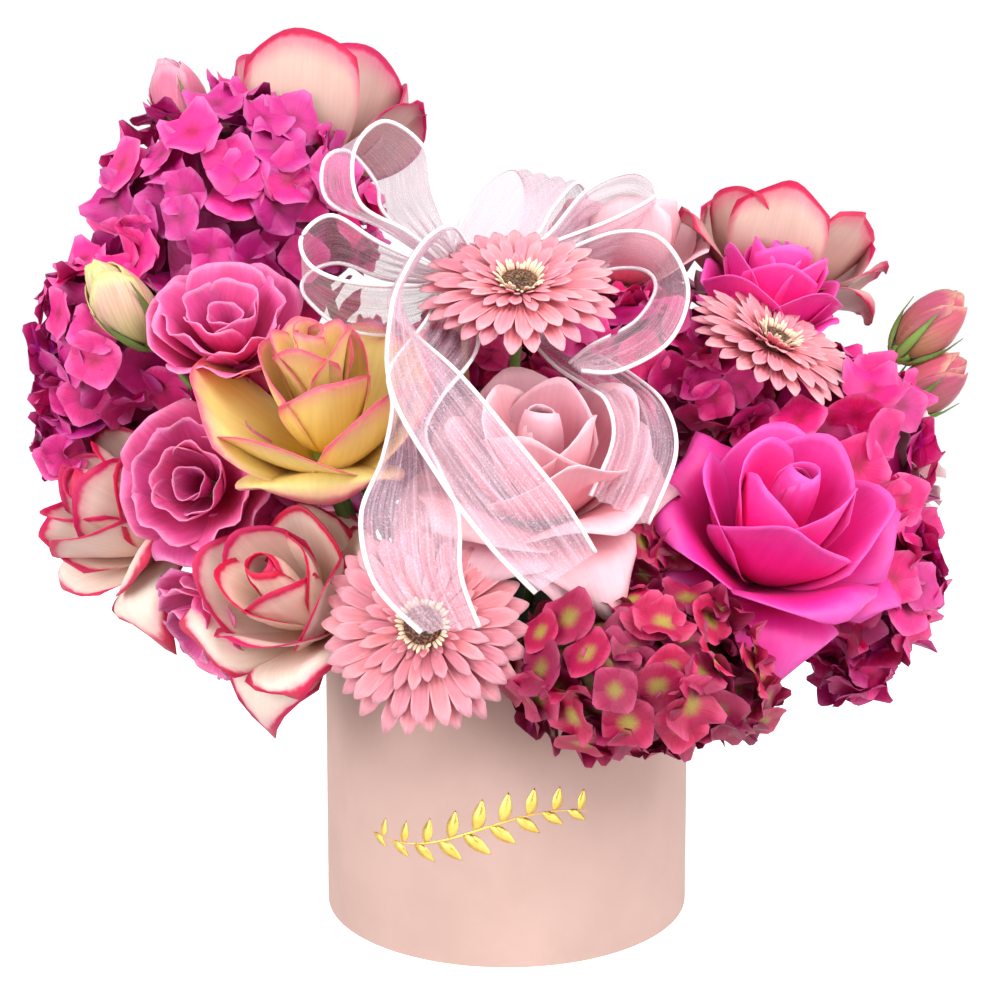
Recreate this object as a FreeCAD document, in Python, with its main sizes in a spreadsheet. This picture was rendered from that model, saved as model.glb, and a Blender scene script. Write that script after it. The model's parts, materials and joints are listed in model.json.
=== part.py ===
import FreeCAD, Part
import math
import os
import Sketcher
from collections import namedtuple
from FreeCAD import Placement, Rotation, Vector

# A round card box of cut flowers with an organza bow.
# Millimetres, +Z up, origin at the middle of the underside, the front of the box faces -Y.

document = FreeCAD.newDocument("flower_box")
sheet = document.addObject("Spreadsheet::Sheet", "sizes")

# Driving sizes
driving_sizes = {
    # box
    "box_radius": 90.0,
    "box_height": 125.0,
    "board_thickness": 2.0,
    "paper_thickness": 0.4,
    "paper_turn_in": 16.0,
    "paper_turn_under": 12.0,
    "paper_seam_gap": 0.2,
    "base_thickness": 2.5,
    # insert
    "liner_clearance": 0.6,
    "liner_wall": 1.2,
    "liner_drop": 4.0,
    "foam_clearance": 0.4,
    "foam_rise": 25.0,
    "foam_bevel": 14.0,
    "socket_clearance": 0.4,
    # blooms
    "rose_wide": 98.0,
    "rose_full": 88.0,
    "rose_small": 71.0,
    "gerbera_width": 86.0,
    "lisianthus_full": 64.0,
    "lisianthus_young": 54.0,
    "bud_width": 33.0,
    "head_large": 134.0,
    "head_middle": 116.0,
    "head_small": 92.0,
    "petal_thickness": 1.0,
    "floret_width": 25.0,
    "floret_thickness": 1.4,
    "soft_clearance": 0.6,
    "rim_clearance": 1.0,
    # stems
    "rose_stem": 2.6,
    "gerbera_stem": 2.4,
    "lisianthus_stem": 1.9,
    "bud_stem": 1.6,
    "hydrangea_stem": 3.0,
    "rose_neck": 22.0,
    "gerbera_neck": 30.0,
    "lisianthus_neck": 16.0,
    "hydrangea_neck": 18.0,
    # bow
    "ribbon_thickness": 0.8,
    "knot_radius": 9.0,
    "knot_length": 22.0,
    "knot_bulge": 1.5,
    "knot_fit": 0.15,
    "pick_radius": 1.6,
    "pick_depth": 40.0,
}
for row, (alias, value) in enumerate(driving_sizes.items(), start=1):
    sheet.set("A%d" % row, alias)
    sheet.set("B%d" % row, str(value))
    sheet.setAlias("B%d" % row, alias)
document.recompute()


def size(alias):
    return float(getattr(sheet, alias))


def polar(azimuth, radius, height):
    angle = math.radians(azimuth)
    return Vector(radius * math.cos(angle), radius * math.sin(angle), height)


def direction(pan, tilt):
    flat = math.cos(math.radians(tilt))
    return polar(pan, flat, math.sin(math.radians(tilt)))


pieces = {}


def keep(label, feature):
    feature.Label = label
    pieces[label] = feature
    return feature


def turned_body(name, corners):
    """A body of revolution about Z. Each corner is a pair of sheet expressions: radius and height."""
    body = document.addObject("PartDesign::Body", name)
    sketch = body.newObject("Sketcher::SketchObject", name + "_outline")
    front_plane = [plane for plane in body.Origin.OriginFeatures if plane.Role == "XZ_Plane"][0]
    sketch.AttachmentSupport = [(front_plane, "")]
    sketch.MapMode = "FlatFace"
    places = [Vector(sheet.evalExpression(r), sheet.evalExpression(z), 0) for r, z in corners]
    count = len(places)
    for index in range(count):
        sketch.addGeometry(Part.LineSegment(places[index], places[(index + 1) % count]), False)
    for index in range(count):
        sketch.addConstraint(Sketcher.Constraint("Coincident", index, 2, (index + 1) % count, 1))
    for index, (radius, height) in enumerate(corners):
        for kind, axis, expression in (("DistanceX", -2, radius), ("DistanceY", -1, height)):
            value = sheet.evalExpression(expression)
            if value == 0:
                sketch.addConstraint(Sketcher.Constraint("PointOnObject", index, 1, axis))
                continue
            bound = sketch.addConstraint(Sketcher.Constraint(kind, -1, 1, index, 1, value))
            sketch.setExpression("Constraints[%d]" % bound, expression)
    turn = body.newObject("PartDesign::Revolution", name + "_turn")
    turn.Profile = sketch
    turn.ReferenceAxis = (sketch, ["V_Axis"])
    turn.Angle = 360
    body.Tip = turn
    return body


# Box
tube_outside = "sizes.box_radius - sizes.paper_thickness"
tube_inside = tube_outside + " - sizes.board_thickness"
paper_inside = tube_inside + " - sizes.paper_thickness"
tube_top = "sizes.box_height - sizes.paper_thickness"
tube_foot = "sizes.paper_thickness"
turn_in_foot = "sizes.box_height - sizes.paper_turn_in"
turn_under_edge = "sizes.box_radius - sizes.paper_turn_under"
floor_top = "sizes.paper_thickness + sizes.base_thickness"

keep("wall_tube", turned_body("WallTube", [
    (tube_inside, tube_foot),
    (tube_outside, tube_foot),
    (tube_outside, tube_top),
    (tube_inside, tube_top),
]))
keep("wrap_paper", turned_body("WrapPaper", [
    (turn_under_edge, "0"),
    ("sizes.box_radius", "0"),
    ("sizes.box_radius", "sizes.box_height"),
    (paper_inside, "sizes.box_height"),
    (paper_inside, turn_in_foot),
    (tube_inside, turn_in_foot),
    (tube_inside, tube_top),
    (tube_outside, tube_top),
    (tube_outside, tube_foot),
    (turn_under_edge, tube_foot),
]))
keep("base_board", turned_body("BaseBoard", [
    ("0", tube_foot),
    (tube_inside, tube_foot),
    (tube_inside, floor_top),
    ("0", floor_top),
]))
keep("base_paper", turned_body("BasePaper", [
    ("0", "0"),
    (turn_under_edge + " - sizes.paper_seam_gap", "0"),
    (turn_under_edge + " - sizes.paper_seam_gap", tube_foot),
    ("0", tube_foot),
]))

# Liner and foam block
liner_outside = paper_inside + " - sizes.liner_clearance"
liner_inside = liner_outside + " - sizes.liner_wall"
liner_top = "sizes.box_height - sizes.liner_drop"
liner_floor = floor_top + " + sizes.liner_wall"
foam_radius = liner_inside + " - sizes.foam_clearance"
foam_top = "sizes.box_height + sizes.foam_rise"

keep("liner_tub", turned_body("LinerTub", [
    ("0", floor_top),
    (liner_outside, floor_top),
    (liner_outside, liner_top),
    (liner_inside, liner_top),
    (liner_inside, liner_floor),
    ("0", liner_floor),
]))
foam_block = turned_body("FoamBlock", [
    ("0", liner_floor),
    (foam_radius, liner_floor),
    (foam_radius, foam_top + " - sizes.foam_bevel"),
    (foam_radius + " - sizes.foam_bevel", foam_top),
    ("0", foam_top),
])
document.recompute()

# Arrangement: reach is outward from the box wall, rise is upward from the rim.
# The root is where the stem starts in the foam: radius, rise from the rim and turn from the bloom's azimuth.
Bloom = namedtuple("Bloom", "kind width azimuth reach rise pan tilt root_radius root_rise root_turn")
arrangement = {
    "gerbera_front": Bloom("gerbera", "gerbera_width", -86, -15, 169, -88, 49, 34, -10, -30),
    "gerbera_right": Bloom("gerbera", "gerbera_width", -11, 38, 148, -55, 51, 44, 0, 0),
    "gerbera_low": Bloom("gerbera", "gerbera_width", -105, 36, 31, -96, 18, 46, 5, 0),
    "rose_blush": Bloom("rose", "rose_full", -81, -1, 98, -89, 55, 12, -15, 0),
    "rose_fuchsia": Bloom("rose", "rose_wide", -32, 51, 70, -74, 50, 50, -1, 0),
    "rose_yellow": Bloom("rose", "rose_full", -133, 27, 124, -92, 53, 40, -30, 0),
    "rose_left": Bloom("rose", "rose_full", -171, 96, 72, -140, 30, 52, -2, 0),
    "rose_low_left": Bloom("rose", "rose_full", -136, 41, 41, -112, 34, 58, 6, -22),
    "rose_top_left": Bloom("rose", "rose_wide", 155, 18, 274, 79, 75, 34, -25, 0),
    "rose_top_right": Bloom("rose", "rose_full", 20, 69, 211, 22, 74, 40, -25, 6),
    "rose_pale_back": Bloom("rose", "rose_small", 37, -14, 209, 90, 84, 18, -25, 0),
    "rose_fuchsia_back": Bloom("rose", "rose_small", 8, 46, 182, -67, 68, 22, -25, -22),
    "rose_back": Bloom("rose", "rose_full", 88, 26, 71, 90, 27, 48, -25, 0),
    "rose_back_top": Bloom("rose", "rose_full", 93, -5, 160, 90, 60, 28, -25, 0),
    "rose_back_right": Bloom("rose", "rose_full", 30, 84, 87, 39, 17, 56, -20, 0),
    "lisianthus_upper": Bloom("lisianthus", "lisianthus_full", -151, 51, 160, -85, 42, 34, -25, 0),
    "lisianthus_left": Bloom("lisianthus", "lisianthus_full", -150, 68, 86, -99, 10, 44, -14, -16),
    "lisianthus_low": Bloom("lisianthus", "lisianthus_young", -153, 65, 19, -136, -30, 68, 0, -7),
    "lisianthus_right": Bloom("lisianthus", "lisianthus_full", 0, 118, 100, -24, 12, 56, -24, 6),
    "lisianthus_back": Bloom("lisianthus", "lisianthus_full", 153, 79, 101, 139, 21, 56, -20, 0),
    "bud_top": Bloom("bud", "bud_width", 170, 79, 276, 0, 0, 26, -25, 0),
    "bud_right": Bloom("bud", "bud_width", 4, 124, 160, 0, 0, 42, -10, 0),
    "bud_left": Bloom("bud", "bud_width", -164, 90, 165, 0, 0, 30, -25, -8),
    "bud_right_low": Bloom("bud", "bud_width", 4, 125, 130, 0, 0, 54, -8, 7),
    "hydrangea_front": Bloom("hydrangea", "head_small", -65, 32, 16, -75, 6, 48, 4, 0),
    "hydrangea_top": Bloom("hydrangea", "head_large", 170, 47, 210, -119, 59, 48, -25, 0),
    "hydrangea_left": Bloom("hydrangea", "head_small", -179, 97, 149, -144, 21, 46, -25, 0),
    "hydrangea_right": Bloom("hydrangea", "head_middle", 0, 66, 88, -54, 21, 66, -15, 18),
    "hydrangea_low_right": Bloom("hydrangea", "head_small", -3, 84, 27, -25, -6, 66, 2, -4),
    "hydrangea_middle": Bloom("hydrangea", "head_small", 21, -24, 131, -90, 72, 26, -30, 36),
    "hydrangea_back_left": Bloom("hydrangea", "head_middle", 125, 36, 107, 111, 30, 46, -25, 0),
    "hydrangea_back_right": Bloom("hydrangea", "head_middle", 51, 39, 137, 63, 37, 46, -25, 0),
}
pulled_stems = ("bud_top", "bud_right")

# Share of a bloom's width that lies between the end of its stem and its widest ring
seat_share = {"rose": 0.47, "gerbera": 0.12, "lisianthus": 0.5, "bud": 0.75, "hydrangea": 0.36}


def bloom_root(bloom):
    return polar(bloom.azimuth + bloom.root_turn, bloom.root_radius, size("box_height") + bloom.root_rise)


def bloom_centre(bloom):
    return polar(bloom.azimuth, size("box_radius") + bloom.reach, size("box_height") + bloom.rise)


def bloom_facing(bloom):
    if bloom.kind == "bud":
        return (bloom_centre(bloom) - bloom_root(bloom)).normalize()
    return direction(bloom.pan, bloom.tilt)


def bloom_seat(bloom):
    return bloom_centre(bloom) - bloom_facing(bloom) * (seat_share[bloom.kind] * size(bloom.width))


def bloom_placement(bloom):
    return Placement(bloom_seat(bloom), Rotation(Vector(0, 0, 1), bloom_facing(bloom)))


# Stems: a straight run from the foam, a bend as wide as the neck allows, and a straight neck to the bloom
least_turn = math.radians(2)
bend_share_of_run = 0.9


def round_pipe(points, radius):
    edges = []
    start = points[0]
    for before, corner, after in zip(points, points[1:], points[2:]):
        back = (before - corner).normalize()
        ahead = (after - corner).normalize()
        turn = math.pi - back.getAngle(ahead)
        if turn < least_turn:
            continue
        reach = bend_share_of_run * min((before - corner).Length, (after - corner).Length)
        bend = reach / math.tan(turn / 2)
        middle = corner + (back + ahead).normalize() * (math.hypot(bend, reach) - bend)
        edges.append(Part.LineSegment(start, corner + back * reach).toShape())
        edges.append(Part.Arc(corner + back * reach, middle, corner + ahead * reach).toShape())
        start = corner + ahead * reach
    edges.append(Part.LineSegment(start, points[-1]).toShape())
    section = Part.Circle(points[0], points[1] - points[0], radius).toShape()
    return Part.Wire(edges).makePipeShell([Part.Wire([section])], True, False)


def stem_shape(bloom, clearance):
    radius = size(bloom.kind + "_stem") + clearance
    root = bloom_root(bloom)
    seat = bloom_seat(bloom)
    if bloom.kind == "bud":
        return round_pipe([root, seat], radius)
    corner = seat - bloom_facing(bloom) * size(bloom.kind + "_neck")
    return round_pipe([root, corner, seat], radius)


# Fitting soft pieces together
def largest(shape):
    return max(shape.Solids, key=lambda solid: solid.Volume)


def meets(room, tool):
    return room.BoundBox.intersect(tool.BoundBox) and room.common(tool).Volume > 0


def carved(shape, room, tools):
    """The shape without the tools that reach into the room around it."""
    for tool in tools:
        if meets(room, tool):
            shape = largest(shape.cut(tool))
    return shape


# Petals: a loft through crescents that stand square to the petal's spine
deepest_cup = 0.6


def crescent(radius, height, slope, half_width, cup):
    inward = Vector(-math.sin(slope), 0, math.cos(slope))
    middle = Vector(radius, 0, height)
    side = Vector(0, half_width, 0)
    outer = [middle - side + inward * cup, middle, middle + side + inward * cup]
    inner = [point + inward * size("petal_thickness") for point in outer]
    edges = [
        Part.Arc(outer[0], outer[1], outer[2]).toShape(),
        Part.LineSegment(outer[2], inner[2]).toShape(),
        Part.Arc(inner[2], inner[1], inner[0]).toShape(),
        Part.LineSegment(inner[0], outer[0]).toShape(),
    ]
    return Part.Wire(edges)


def petal(width, spine, half_widths, hug):
    """spine: radius and height as shares of the bloom's width. hug: how far the petal wraps its ring."""
    sections = []
    for index, (radius, height) in enumerate(spine):
        before = spine[max(index - 1, 0)]
        after = spine[min(index + 1, len(spine) - 1)]
        slope = math.atan2(after[1] - before[1], after[0] - before[0])
        half = half_widths[index]
        cup = min(hug * half * half / (2 * radius), deepest_cup * half)
        sections.append(crescent(radius * width, height * width, slope, half * width, cup * width))
    return Part.makeLoft(sections, True, False)


def ring_of(shape, count, start):
    around = []
    for index in range(count):
        copy = shape.copy()
        copy.rotate(Vector(), Vector(0, 0, 1), start + 360.0 * index / count)
        around.append(copy)
    return around


def outward(solid):
    if solid.Volume < 0:
        solid.reverse()
    return solid


def turned(outline):
    """A solid turned about Z from corners given as radius and height."""
    corners = [Vector(radius, 0, height) for radius, height in outline]
    face = Part.Face(Part.makePolygon(corners + corners[:1]))
    return outward(face.revolve(Vector(), Vector(0, 0, 1), 360))


def scaled(width, outline):
    return [(radius * width, height * width) for radius, height in outline]


PetalRing = namedtuple("PetalRing", "count start spine half_widths")
rose_rings = [
    PetalRing(3, 0, [(.05, .16), (.12, .34), (.145, .55), (.10, .72)], [.04, .105, .11, .05]),
    PetalRing(5, 20, [(.08, .13), (.22, .30), (.28, .52), (.30, .68)], [.04, .12, .14, .07]),
    PetalRing(5, 56, [(.10, .10), (.33, .22), (.43, .42), (.49, .50)], [.05, .17, .21, .10]),
]
rose_heart = [(0, 0), (.07, 0), (.13, .16), (.07, .18), (.06, .44), (.085, .50), (.06, .57), (0, .58)]
gerbera_rings = [PetalRing(22, 0, [(.08, .115), (.23, .14), (.38, .15), (.49, .12)], [.010, .030, .044, .02])]
gerbera_heart = [(0, 0), (.04, 0), (.10, .09), (.10, .165), (.06, .18), (0, .175)]
lisianthus_rings = [
    PetalRing(3, 0, [(.05, .10), (.18, .32), (.25, .52), (.30, .60)], [.03, .15, .17, .10]),
    PetalRing(5, 30, [(.07, .07), (.26, .26), (.40, .46), (.49, .53)], [.04, .15, .19, .11]),
]
lisianthus_heart = [(0, 0), (.05, 0), (.10, .13), (.05, .16), (.04, .40), (0, .44)]
bud_outline = [(0, 0), (.12, 0), (.30, .18), (.44, .50), (.46, .75), (.36, 1.10), (.16, 1.38), (0, 1.44)]

# Room that each kind of bloom takes up among its neighbours
room_outline = {
    "rose": [(0, 0), (.14, 0), (.52, .42), (.53, .54), (.38, .74), (0, .76)],
    "gerbera": [(0, 0), (.05, 0), (.11, .08), (.52, .09), (.52, .19), (0, .20)],
    "lisianthus": [(0, 0), (.10, 0), (.52, .44), (.52, .58), (0, .64)],
    "bud": bud_outline,
}


def petalled(width, heart, rings, hug):
    petals = []
    for row in rings:
        leaf = petal(width, row.spine, row.half_widths, hug)
        petals.extend(ring_of(leaf, row.count, row.start))
    return turned(scaled(width, heart)).multiFuse(petals)


rose_hug = 0.9
gerbera_hug = 2.0
lisianthus_hug = 0.7
bloom_makers = {
    "rose": lambda width: petalled(width, rose_heart, rose_rings, rose_hug),
    "gerbera": lambda width: petalled(width, gerbera_heart, gerbera_rings, gerbera_hug),
    "lisianthus": lambda width: petalled(width, lisianthus_heart, lisianthus_rings, lisianthus_hug),
    "bud": lambda width: turned(scaled(width, bud_outline)),
}
made_blooms = {}


def bloom_shape(bloom):
    if bloom.width not in made_blooms:
        made_blooms[bloom.width] = bloom_makers[bloom.kind](size(bloom.width))
    return made_blooms[bloom.width]


def bloom_room(bloom):
    """The bloom's room, grown by the soft clearance and left open at the stem's end."""
    clearance = size("soft_clearance")
    if bloom.kind == "hydrangea":
        petal_tips = math.hypot(size(bloom.width), size("floret_width")) / 2
        return Part.makeSphere(petal_tips + clearance, bloom_centre(bloom))
    outline = scaled(size(bloom.width), room_outline[bloom.kind])
    grown = [(radius + clearance if radius else 0, height) for radius, height in outline]
    grown[-1] = (0, grown[-1][1] + clearance)
    room = turned(grown)
    room.Placement = bloom_placement(bloom)
    return room


# Ribbons: ruled strips through thin rectangles, each given by its middle and its half width from the knot
knot_azimuth = -113
knot_reach = -38
knot_rise = 178
Station = namedtuple("Station", "middle half")
ribbons = {
    "loop_upper_left": [
        Station((-6, -1, 3), (0, -7, 0)),
        Station((-29, -6, 19), (7, -14, -3)),
        Station((-51, -14, 30), (9, -16, -3)),
        Station((-53, -14, 50), (9, -17, -1)),
        Station((-42, -6, 60), (10, -16, 3)),
        Station((-28, 2, 49), (12, -14, 5)),
        Station((-24, 4, 32), (12, -15, 2)),
        Station((-4, 0, 6), (3, -7, 0)),
    ],
    "loop_left": [
        Station((-6, -1, -4), (0, -7, 1)),
        Station((-20, -12, -16), (-1, -8, 9)),
        Station((-46, -30, -17), (2, -16, 9)),
        Station((-65, -26, -6), (4, -18, 5)),
        Station((-68, -18, 6), (2, -18, 6)),
        Station((-55, -12, 14), (1, -17, 8)),
        Station((-34, -8, 5), (0, -16, 6)),
        Station((-7, -1, -1), (0, -7, 1)),
    ],
    "loop_right": [
        Station((6, 1, -3), (0, -7, 1)),
        Station((28, 11, 0), (-1, -12, 2)),
        Station((46, 18, 6), (-2, -16, 4)),
        Station((72, 16, 13), (-2, -18, 6)),
        Station((88, 6, 9), (1, -18, 5)),
        Station((94, -4, -7), (5, -18, -1)),
        Station((84, -16, -26), (6, -17, -5)),
        Station((63, -24, -38), (5, -15, -6)),
        Station((50, -28, -42), (2, -9, -2)),
    ],
    "loop_back_left": [
        Station((1, 6, 6), (-5, 0, 1)),
        Station((15, 32, 24), (-17, 2, 4)),
        Station((26, 52, 44), (-17, 2, 6)),
        Station((40, 68, 57), (-16, 3, 4)),
        Station((46, 80, 44), (-16, 3, 4)),
        Station((36, 66, 12), (-15, 2, 3)),
        Station((22, 40, -8), (-12, 2, 2)),
        Station((1, 8, -6), (-4, 0, 1)),
    ],
    "loop_back_right": [
        Station((6, 7, 0), (0, 4, -1)),
        Station((24, 22, 4), (-2, 8, -7)),
        Station((46, 38, 10), (-3, 11, -11)),
        Station((72, 54, 22), (-3, 12, -11)),
        Station((92, 66, 37), (-2, 13, -9)),
        Station((80, 66, 45), (-3, 12, -11)),
        Station((56, 52, 34), (-3, 11, -11)),
        Station((34, 38, 12), (-2, 7, -7)),
        Station((6, 8, 2), (0, 4, -1)),
    ],
    "tail_long": [
        Station((1, -7, 7), (4, 1, 2)),
        Station((-8, -22, 15), (5, 4, 4)),
        Station((-18, -32, 4), (5, -2, 8)),
        Station((-25, -43, -10), (4, -7, 7)),
        Station((-21, -58, -26), (-5, -5, 5)),
        Station((-11, -76, -50), (-13, -11, -3)),
        Station((10, -88, -80), (-15, -10, -6)),
        Station((28, -94, -103), (-14, -9, -8)),
        Station((43, -96, -122), (-12, -13, -6)),
    ],
    "tail_left": [
        Station((-1, -8, -5), (-5, 0, 1)),
        Station((-3, -40, -29), (-11, -1, 5)),
        Station((-17, -56, -50), (-10, -3, 6)),
        Station((-19, -64, -65), (-6, -7, 5)),
        Station((-17, -80, -82), (-11, -4, 2)),
        Station((-16, -98, -100), (-18, -5, 0)),
        Station((-12, -112, -122), (-15, -11, 0)),
        Station((0, -118, -140), (-10, -11, 1)),
    ],
    "tail_right": [
        Station((5, -1, -6), (0, -5, 0)),
        Station((30, 14, -24), (-2, -12, -2)),
        Station((52, 4, -38), (-10, -11, -3)),
        Station((66, -16, -48), (-12, -8, -2)),
        Station((75, -40, -58), (-13, -4, 1)),
        Station((77, -54, -76), (-13, -1, 3)),
        Station((66, -64, -101), (-12, -3, 6)),
    ],
}


def knot_centre():
    return polar(knot_azimuth, size("box_radius") + knot_reach, size("box_height") + knot_rise)


steps_between_stations = 3


def smooth_stations(stations):
    """The stations with more between them, on a curve that passes through each one."""
    def blend(before, here, there, after, share):
        bend = (there - before) * share + (before * 2 - here * 5 + there * 4 - after) * share ** 2
        return here + (bend + (here * 3 - before - there * 3 + after) * share ** 3) * 0.5

    last = len(stations) - 1
    smooth = []
    for index in range(last):
        around = [stations[min(max(index + step, 0), last)] for step in (-1, 0, 1, 2)]
        for step in range(steps_between_stations):
            share = step / steps_between_stations
            middle = blend(*[Vector(*station.middle) for station in around], share)
            half = blend(*[Vector(*station.half) for station in around], share)
            smooth.append(Station(middle, half))
    smooth.append(Station(Vector(*stations[last].middle), Vector(*stations[last].half)))
    return smooth


def ribbon_shape(stations, clearance):
    thickness = size("ribbon_thickness") / 2 + clearance
    smooth = smooth_stations(stations)
    sections = []
    for index, (middle, half) in enumerate(smooth):
        along = smooth[min(index + 1, len(smooth) - 1)].middle - smooth[max(index - 1, 0)].middle
        half = half * ((half.Length + clearance) / half.Length)
        depth = along.cross(half).normalize() * thickness
        offsets = [half + depth, depth - half, -half - depth, half - depth]
        sections.append([knot_centre() + middle + offset for offset in offsets])
    faces = [Part.Face(Part.makePolygon(end + end[:1])) for end in (sections[0], sections[-1])]
    same_way = 1
    for here, there in zip(sections, sections[1:]):
        for corner in range(len(here)):
            near = Part.LineSegment(here[corner], here[corner - 1]).toShape()
            ahead = Part.LineSegment(there[corner], there[corner - 1]).toShape()
            faces.append(Part.makeRuledSurface(near, ahead, same_way))
    shell = Part.makeShell(faces)
    shell.sewShape()
    return outward(Part.makeSolid(shell))


def knot_shape():
    """A gathered barrel that lies along Y, open where each ribbon end is tied in."""
    half = size("knot_length") / 2
    crown = size("knot_radius")
    end = crown - size("knot_bulge")
    lower = Vector(end, 0, -half)
    upper = Vector(end, 0, half)
    bulge = Part.Arc(lower, Vector(crown, 0, 0), upper).toShape()
    axis_side = Part.makePolygon([upper, Vector(0, 0, half), Vector(0, 0, -half), lower])
    outline = Part.Face(Part.Wire([bulge] + axis_side.Edges))
    barrel = outward(outline.revolve(Vector(), Vector(0, 0, 1), 360))
    barrel.Placement = Placement(knot_centre(), Rotation(Vector(0, 0, 1), Vector(0, 1, 0)))
    ties = [ribbon_shape(stations, size("knot_fit")) for stations in ribbons.values()]
    return largest(barrel.cut(ties))


pick_foot_azimuth = -119
pick_foot_radius = 25


def pick_ends():
    top = knot_centre() - Vector(0, 0, size("knot_radius"))
    depth = size("box_height") + size("foam_rise") - size("pick_depth")
    foot = polar(pick_foot_azimuth, pick_foot_radius, depth)
    return foot, top


def place_feature(label, world_shape, placement):
    feature = document.addObject("Part::Feature", label)
    feature.Shape = world_shape.transformed(placement.inverse().toMatrix(), True)
    feature.Placement = placement
    return keep(label, feature)


stalk_length_of_lobe = 1.5
stalk_radius_of_thickness = 2.0
floret_cover = 0.85


def floret_shape():
    """Four round lobes on a short stalk that reaches into the head."""
    lobe = size("floret_width") / 4
    thick = size("floret_thickness")
    lobes = [Part.makeCylinder(lobe, thick, polar(quarter, lobe, 0)) for quarter in (0, 90, 180, 270)]
    length = stalk_length_of_lobe * lobe
    stalk = Part.makeCylinder(stalk_radius_of_thickness * thick, length, Vector(0, 0, -length))
    return lobes[0].multiFuse(lobes[1:] + [stalk])


def hydrangea_head(bloom, tools):
    """A ball with a flat underside, covered by florets on a golden-angle spiral where there is room."""
    width = size(bloom.width)
    floret = floret_shape()
    lobe = size("floret_width") / 4
    core_radius = width / 2 - lobe
    seat = seat_share["hydrangea"] * width
    core = Part.makeSphere(core_radius)
    core = core.cut(Part.makeBox(width, width, width, Vector(-width / 2, -width / 2, -seat - width)))
    placement = bloom_placement(bloom)
    to_centre = Placement(Vector(0, 0, seat), Rotation())
    core.Placement = placement.multiply(to_centre)
    core = carved(core, core, tools)
    ball_area = 4 * math.pi * core_radius ** 2
    count = int(floret_cover * ball_area / size("floret_width") ** 2)
    golden_angle = math.pi * (3 - math.sqrt(5))
    florets = []
    for index in range(count):
        rise = 1 - (index + 0.5) * 2 * floret_cover / count
        turn = index * golden_angle
        flat = math.sqrt(1 - rise * rise)
        facing = Vector(flat * math.cos(turn), flat * math.sin(turn), rise)
        floret_seat = facing * (width / 2 - size("floret_thickness"))
        on_ball = Placement(floret_seat, Rotation(Vector(0, 0, 1), facing))
        piece = floret.copy()
        piece.Placement = placement.multiply(to_centre).multiply(on_ball)
        near = [tool for tool in tools if piece.BoundBox.intersect(tool.BoundBox)]
        middle = Part.Vertex(piece.Placement.Base)
        if all(middle.distToShape(tool)[0] > 2 * lobe for tool in near):
            florets.append(piece)
    return largest(core.multiFuse(florets))


# Bow
for label, stations in ribbons.items():
    place_feature(label, ribbon_shape(stations, 0), Placement(knot_centre(), Rotation()))
place_feature("bow_knot", knot_shape(), Placement(knot_centre(), Rotation()))
pick_foot, pick_top = pick_ends()
pick = document.addObject("Part::Cylinder", "BowPick")
pick.setExpression("Radius", "sizes.pick_radius")
pick.Height = (pick_top - pick_foot).Length
pick.Placement = Placement(pick_foot, Rotation(Vector(0, 0, 1), pick_top - pick_foot))
keep("bow_pick", pick)

# Stems and their sockets in the foam
sockets = [stem_shape(bloom, size("socket_clearance")) for bloom in arrangement.values()]
sockets.append(round_pipe([pick_foot, pick_top], size("pick_radius") + size("socket_clearance")))
socket_feature = document.addObject("Part::Feature", "StemSockets")
socket_feature.Shape = Part.makeCompound(sockets)
foam = document.addObject("Part::Cut", "Foam")
foam.Base = foam_block
foam.Tool = socket_feature
keep("foam", foam)

stem_groups = {"rose": "rose", "gerbera": "gerbera", "lisianthus": "lisianthus", "bud": "lisianthus",
               "hydrangea": "hydrangea"}
grouped = {}
for label, bloom in arrangement.items():
    stem = stem_shape(bloom, 0)
    if label in pulled_stems:
        place_feature(label + "_stem", stem, Placement())
        continue
    grouped.setdefault(stem_groups[bloom.kind], []).append(stem)
for kind, stems in grouped.items():
    place_feature(kind + "_stems", Part.makeCompound(stems), Placement())

# Blooms: each one gives way to the ribbons, to the box, to other stems and to the blooms before it
soft = size("soft_clearance")
rim = size("rim_clearance")
box_room = Part.makeCylinder(size("box_radius") + rim, size("box_height") + rim)
foam_room = turned([
    (0, 0),
    (sheet.evalExpression(foam_radius) + soft, 0),
    (sheet.evalExpression(foam_radius) + soft, sheet.evalExpression(foam_top) - size("foam_bevel")),
    (sheet.evalExpression(foam_radius) - size("foam_bevel"), sheet.evalExpression(foam_top) + soft),
    (0, sheet.evalExpression(foam_top) + soft),
])
fixed_room = [box_room, foam_room] + [ribbon_shape(stations, soft) for stations in ribbons.values()]
fixed_room.append(round_pipe([pick_foot, pick_top], size("pick_radius") + soft))
stem_room = {label: stem_shape(bloom, soft) for label, bloom in arrangement.items()}
taken_room = []
for label, bloom in arrangement.items():
    other_stems = [room for owner, room in stem_room.items() if owner != label]
    tools = fixed_room + other_stems + taken_room
    if bloom.kind == "hydrangea":
        shape = hydrangea_head(bloom, tools)
    else:
        shape = bloom_shape(bloom).transformed(bloom_placement(bloom).toMatrix(), True)
        shape = carved(shape, bloom_room(bloom), tools)
    taken_room.append(bloom_room(bloom))
    place_feature(label, shape, bloom_placement(bloom))

document.recompute()

# Checks, then one file for each sub-part
for item in document.Objects:
    if "Invalid" in item.State or "Error" in item.State:
        raise RuntimeError("%s failed: %s" % (item.Name, item.State))
for label, piece in pieces.items():
    if piece.Shape.isNull() or not piece.Shape.isValid() or piece.Shape.Volume <= 0:
        raise RuntimeError("%s has no sound shape" % label)

os.makedirs("parts", exist_ok=True)
for label, piece in pieces.items():
    piece.Shape.exportStep(os.path.join("parts", label + ".step"))
for label in pulled_stems:
    bloom = arrangement[label]
    print(label, "pulls along", bloom_facing(bloom), "from", bloom_root(bloom))
print(len(pieces), "pieces")
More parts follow.
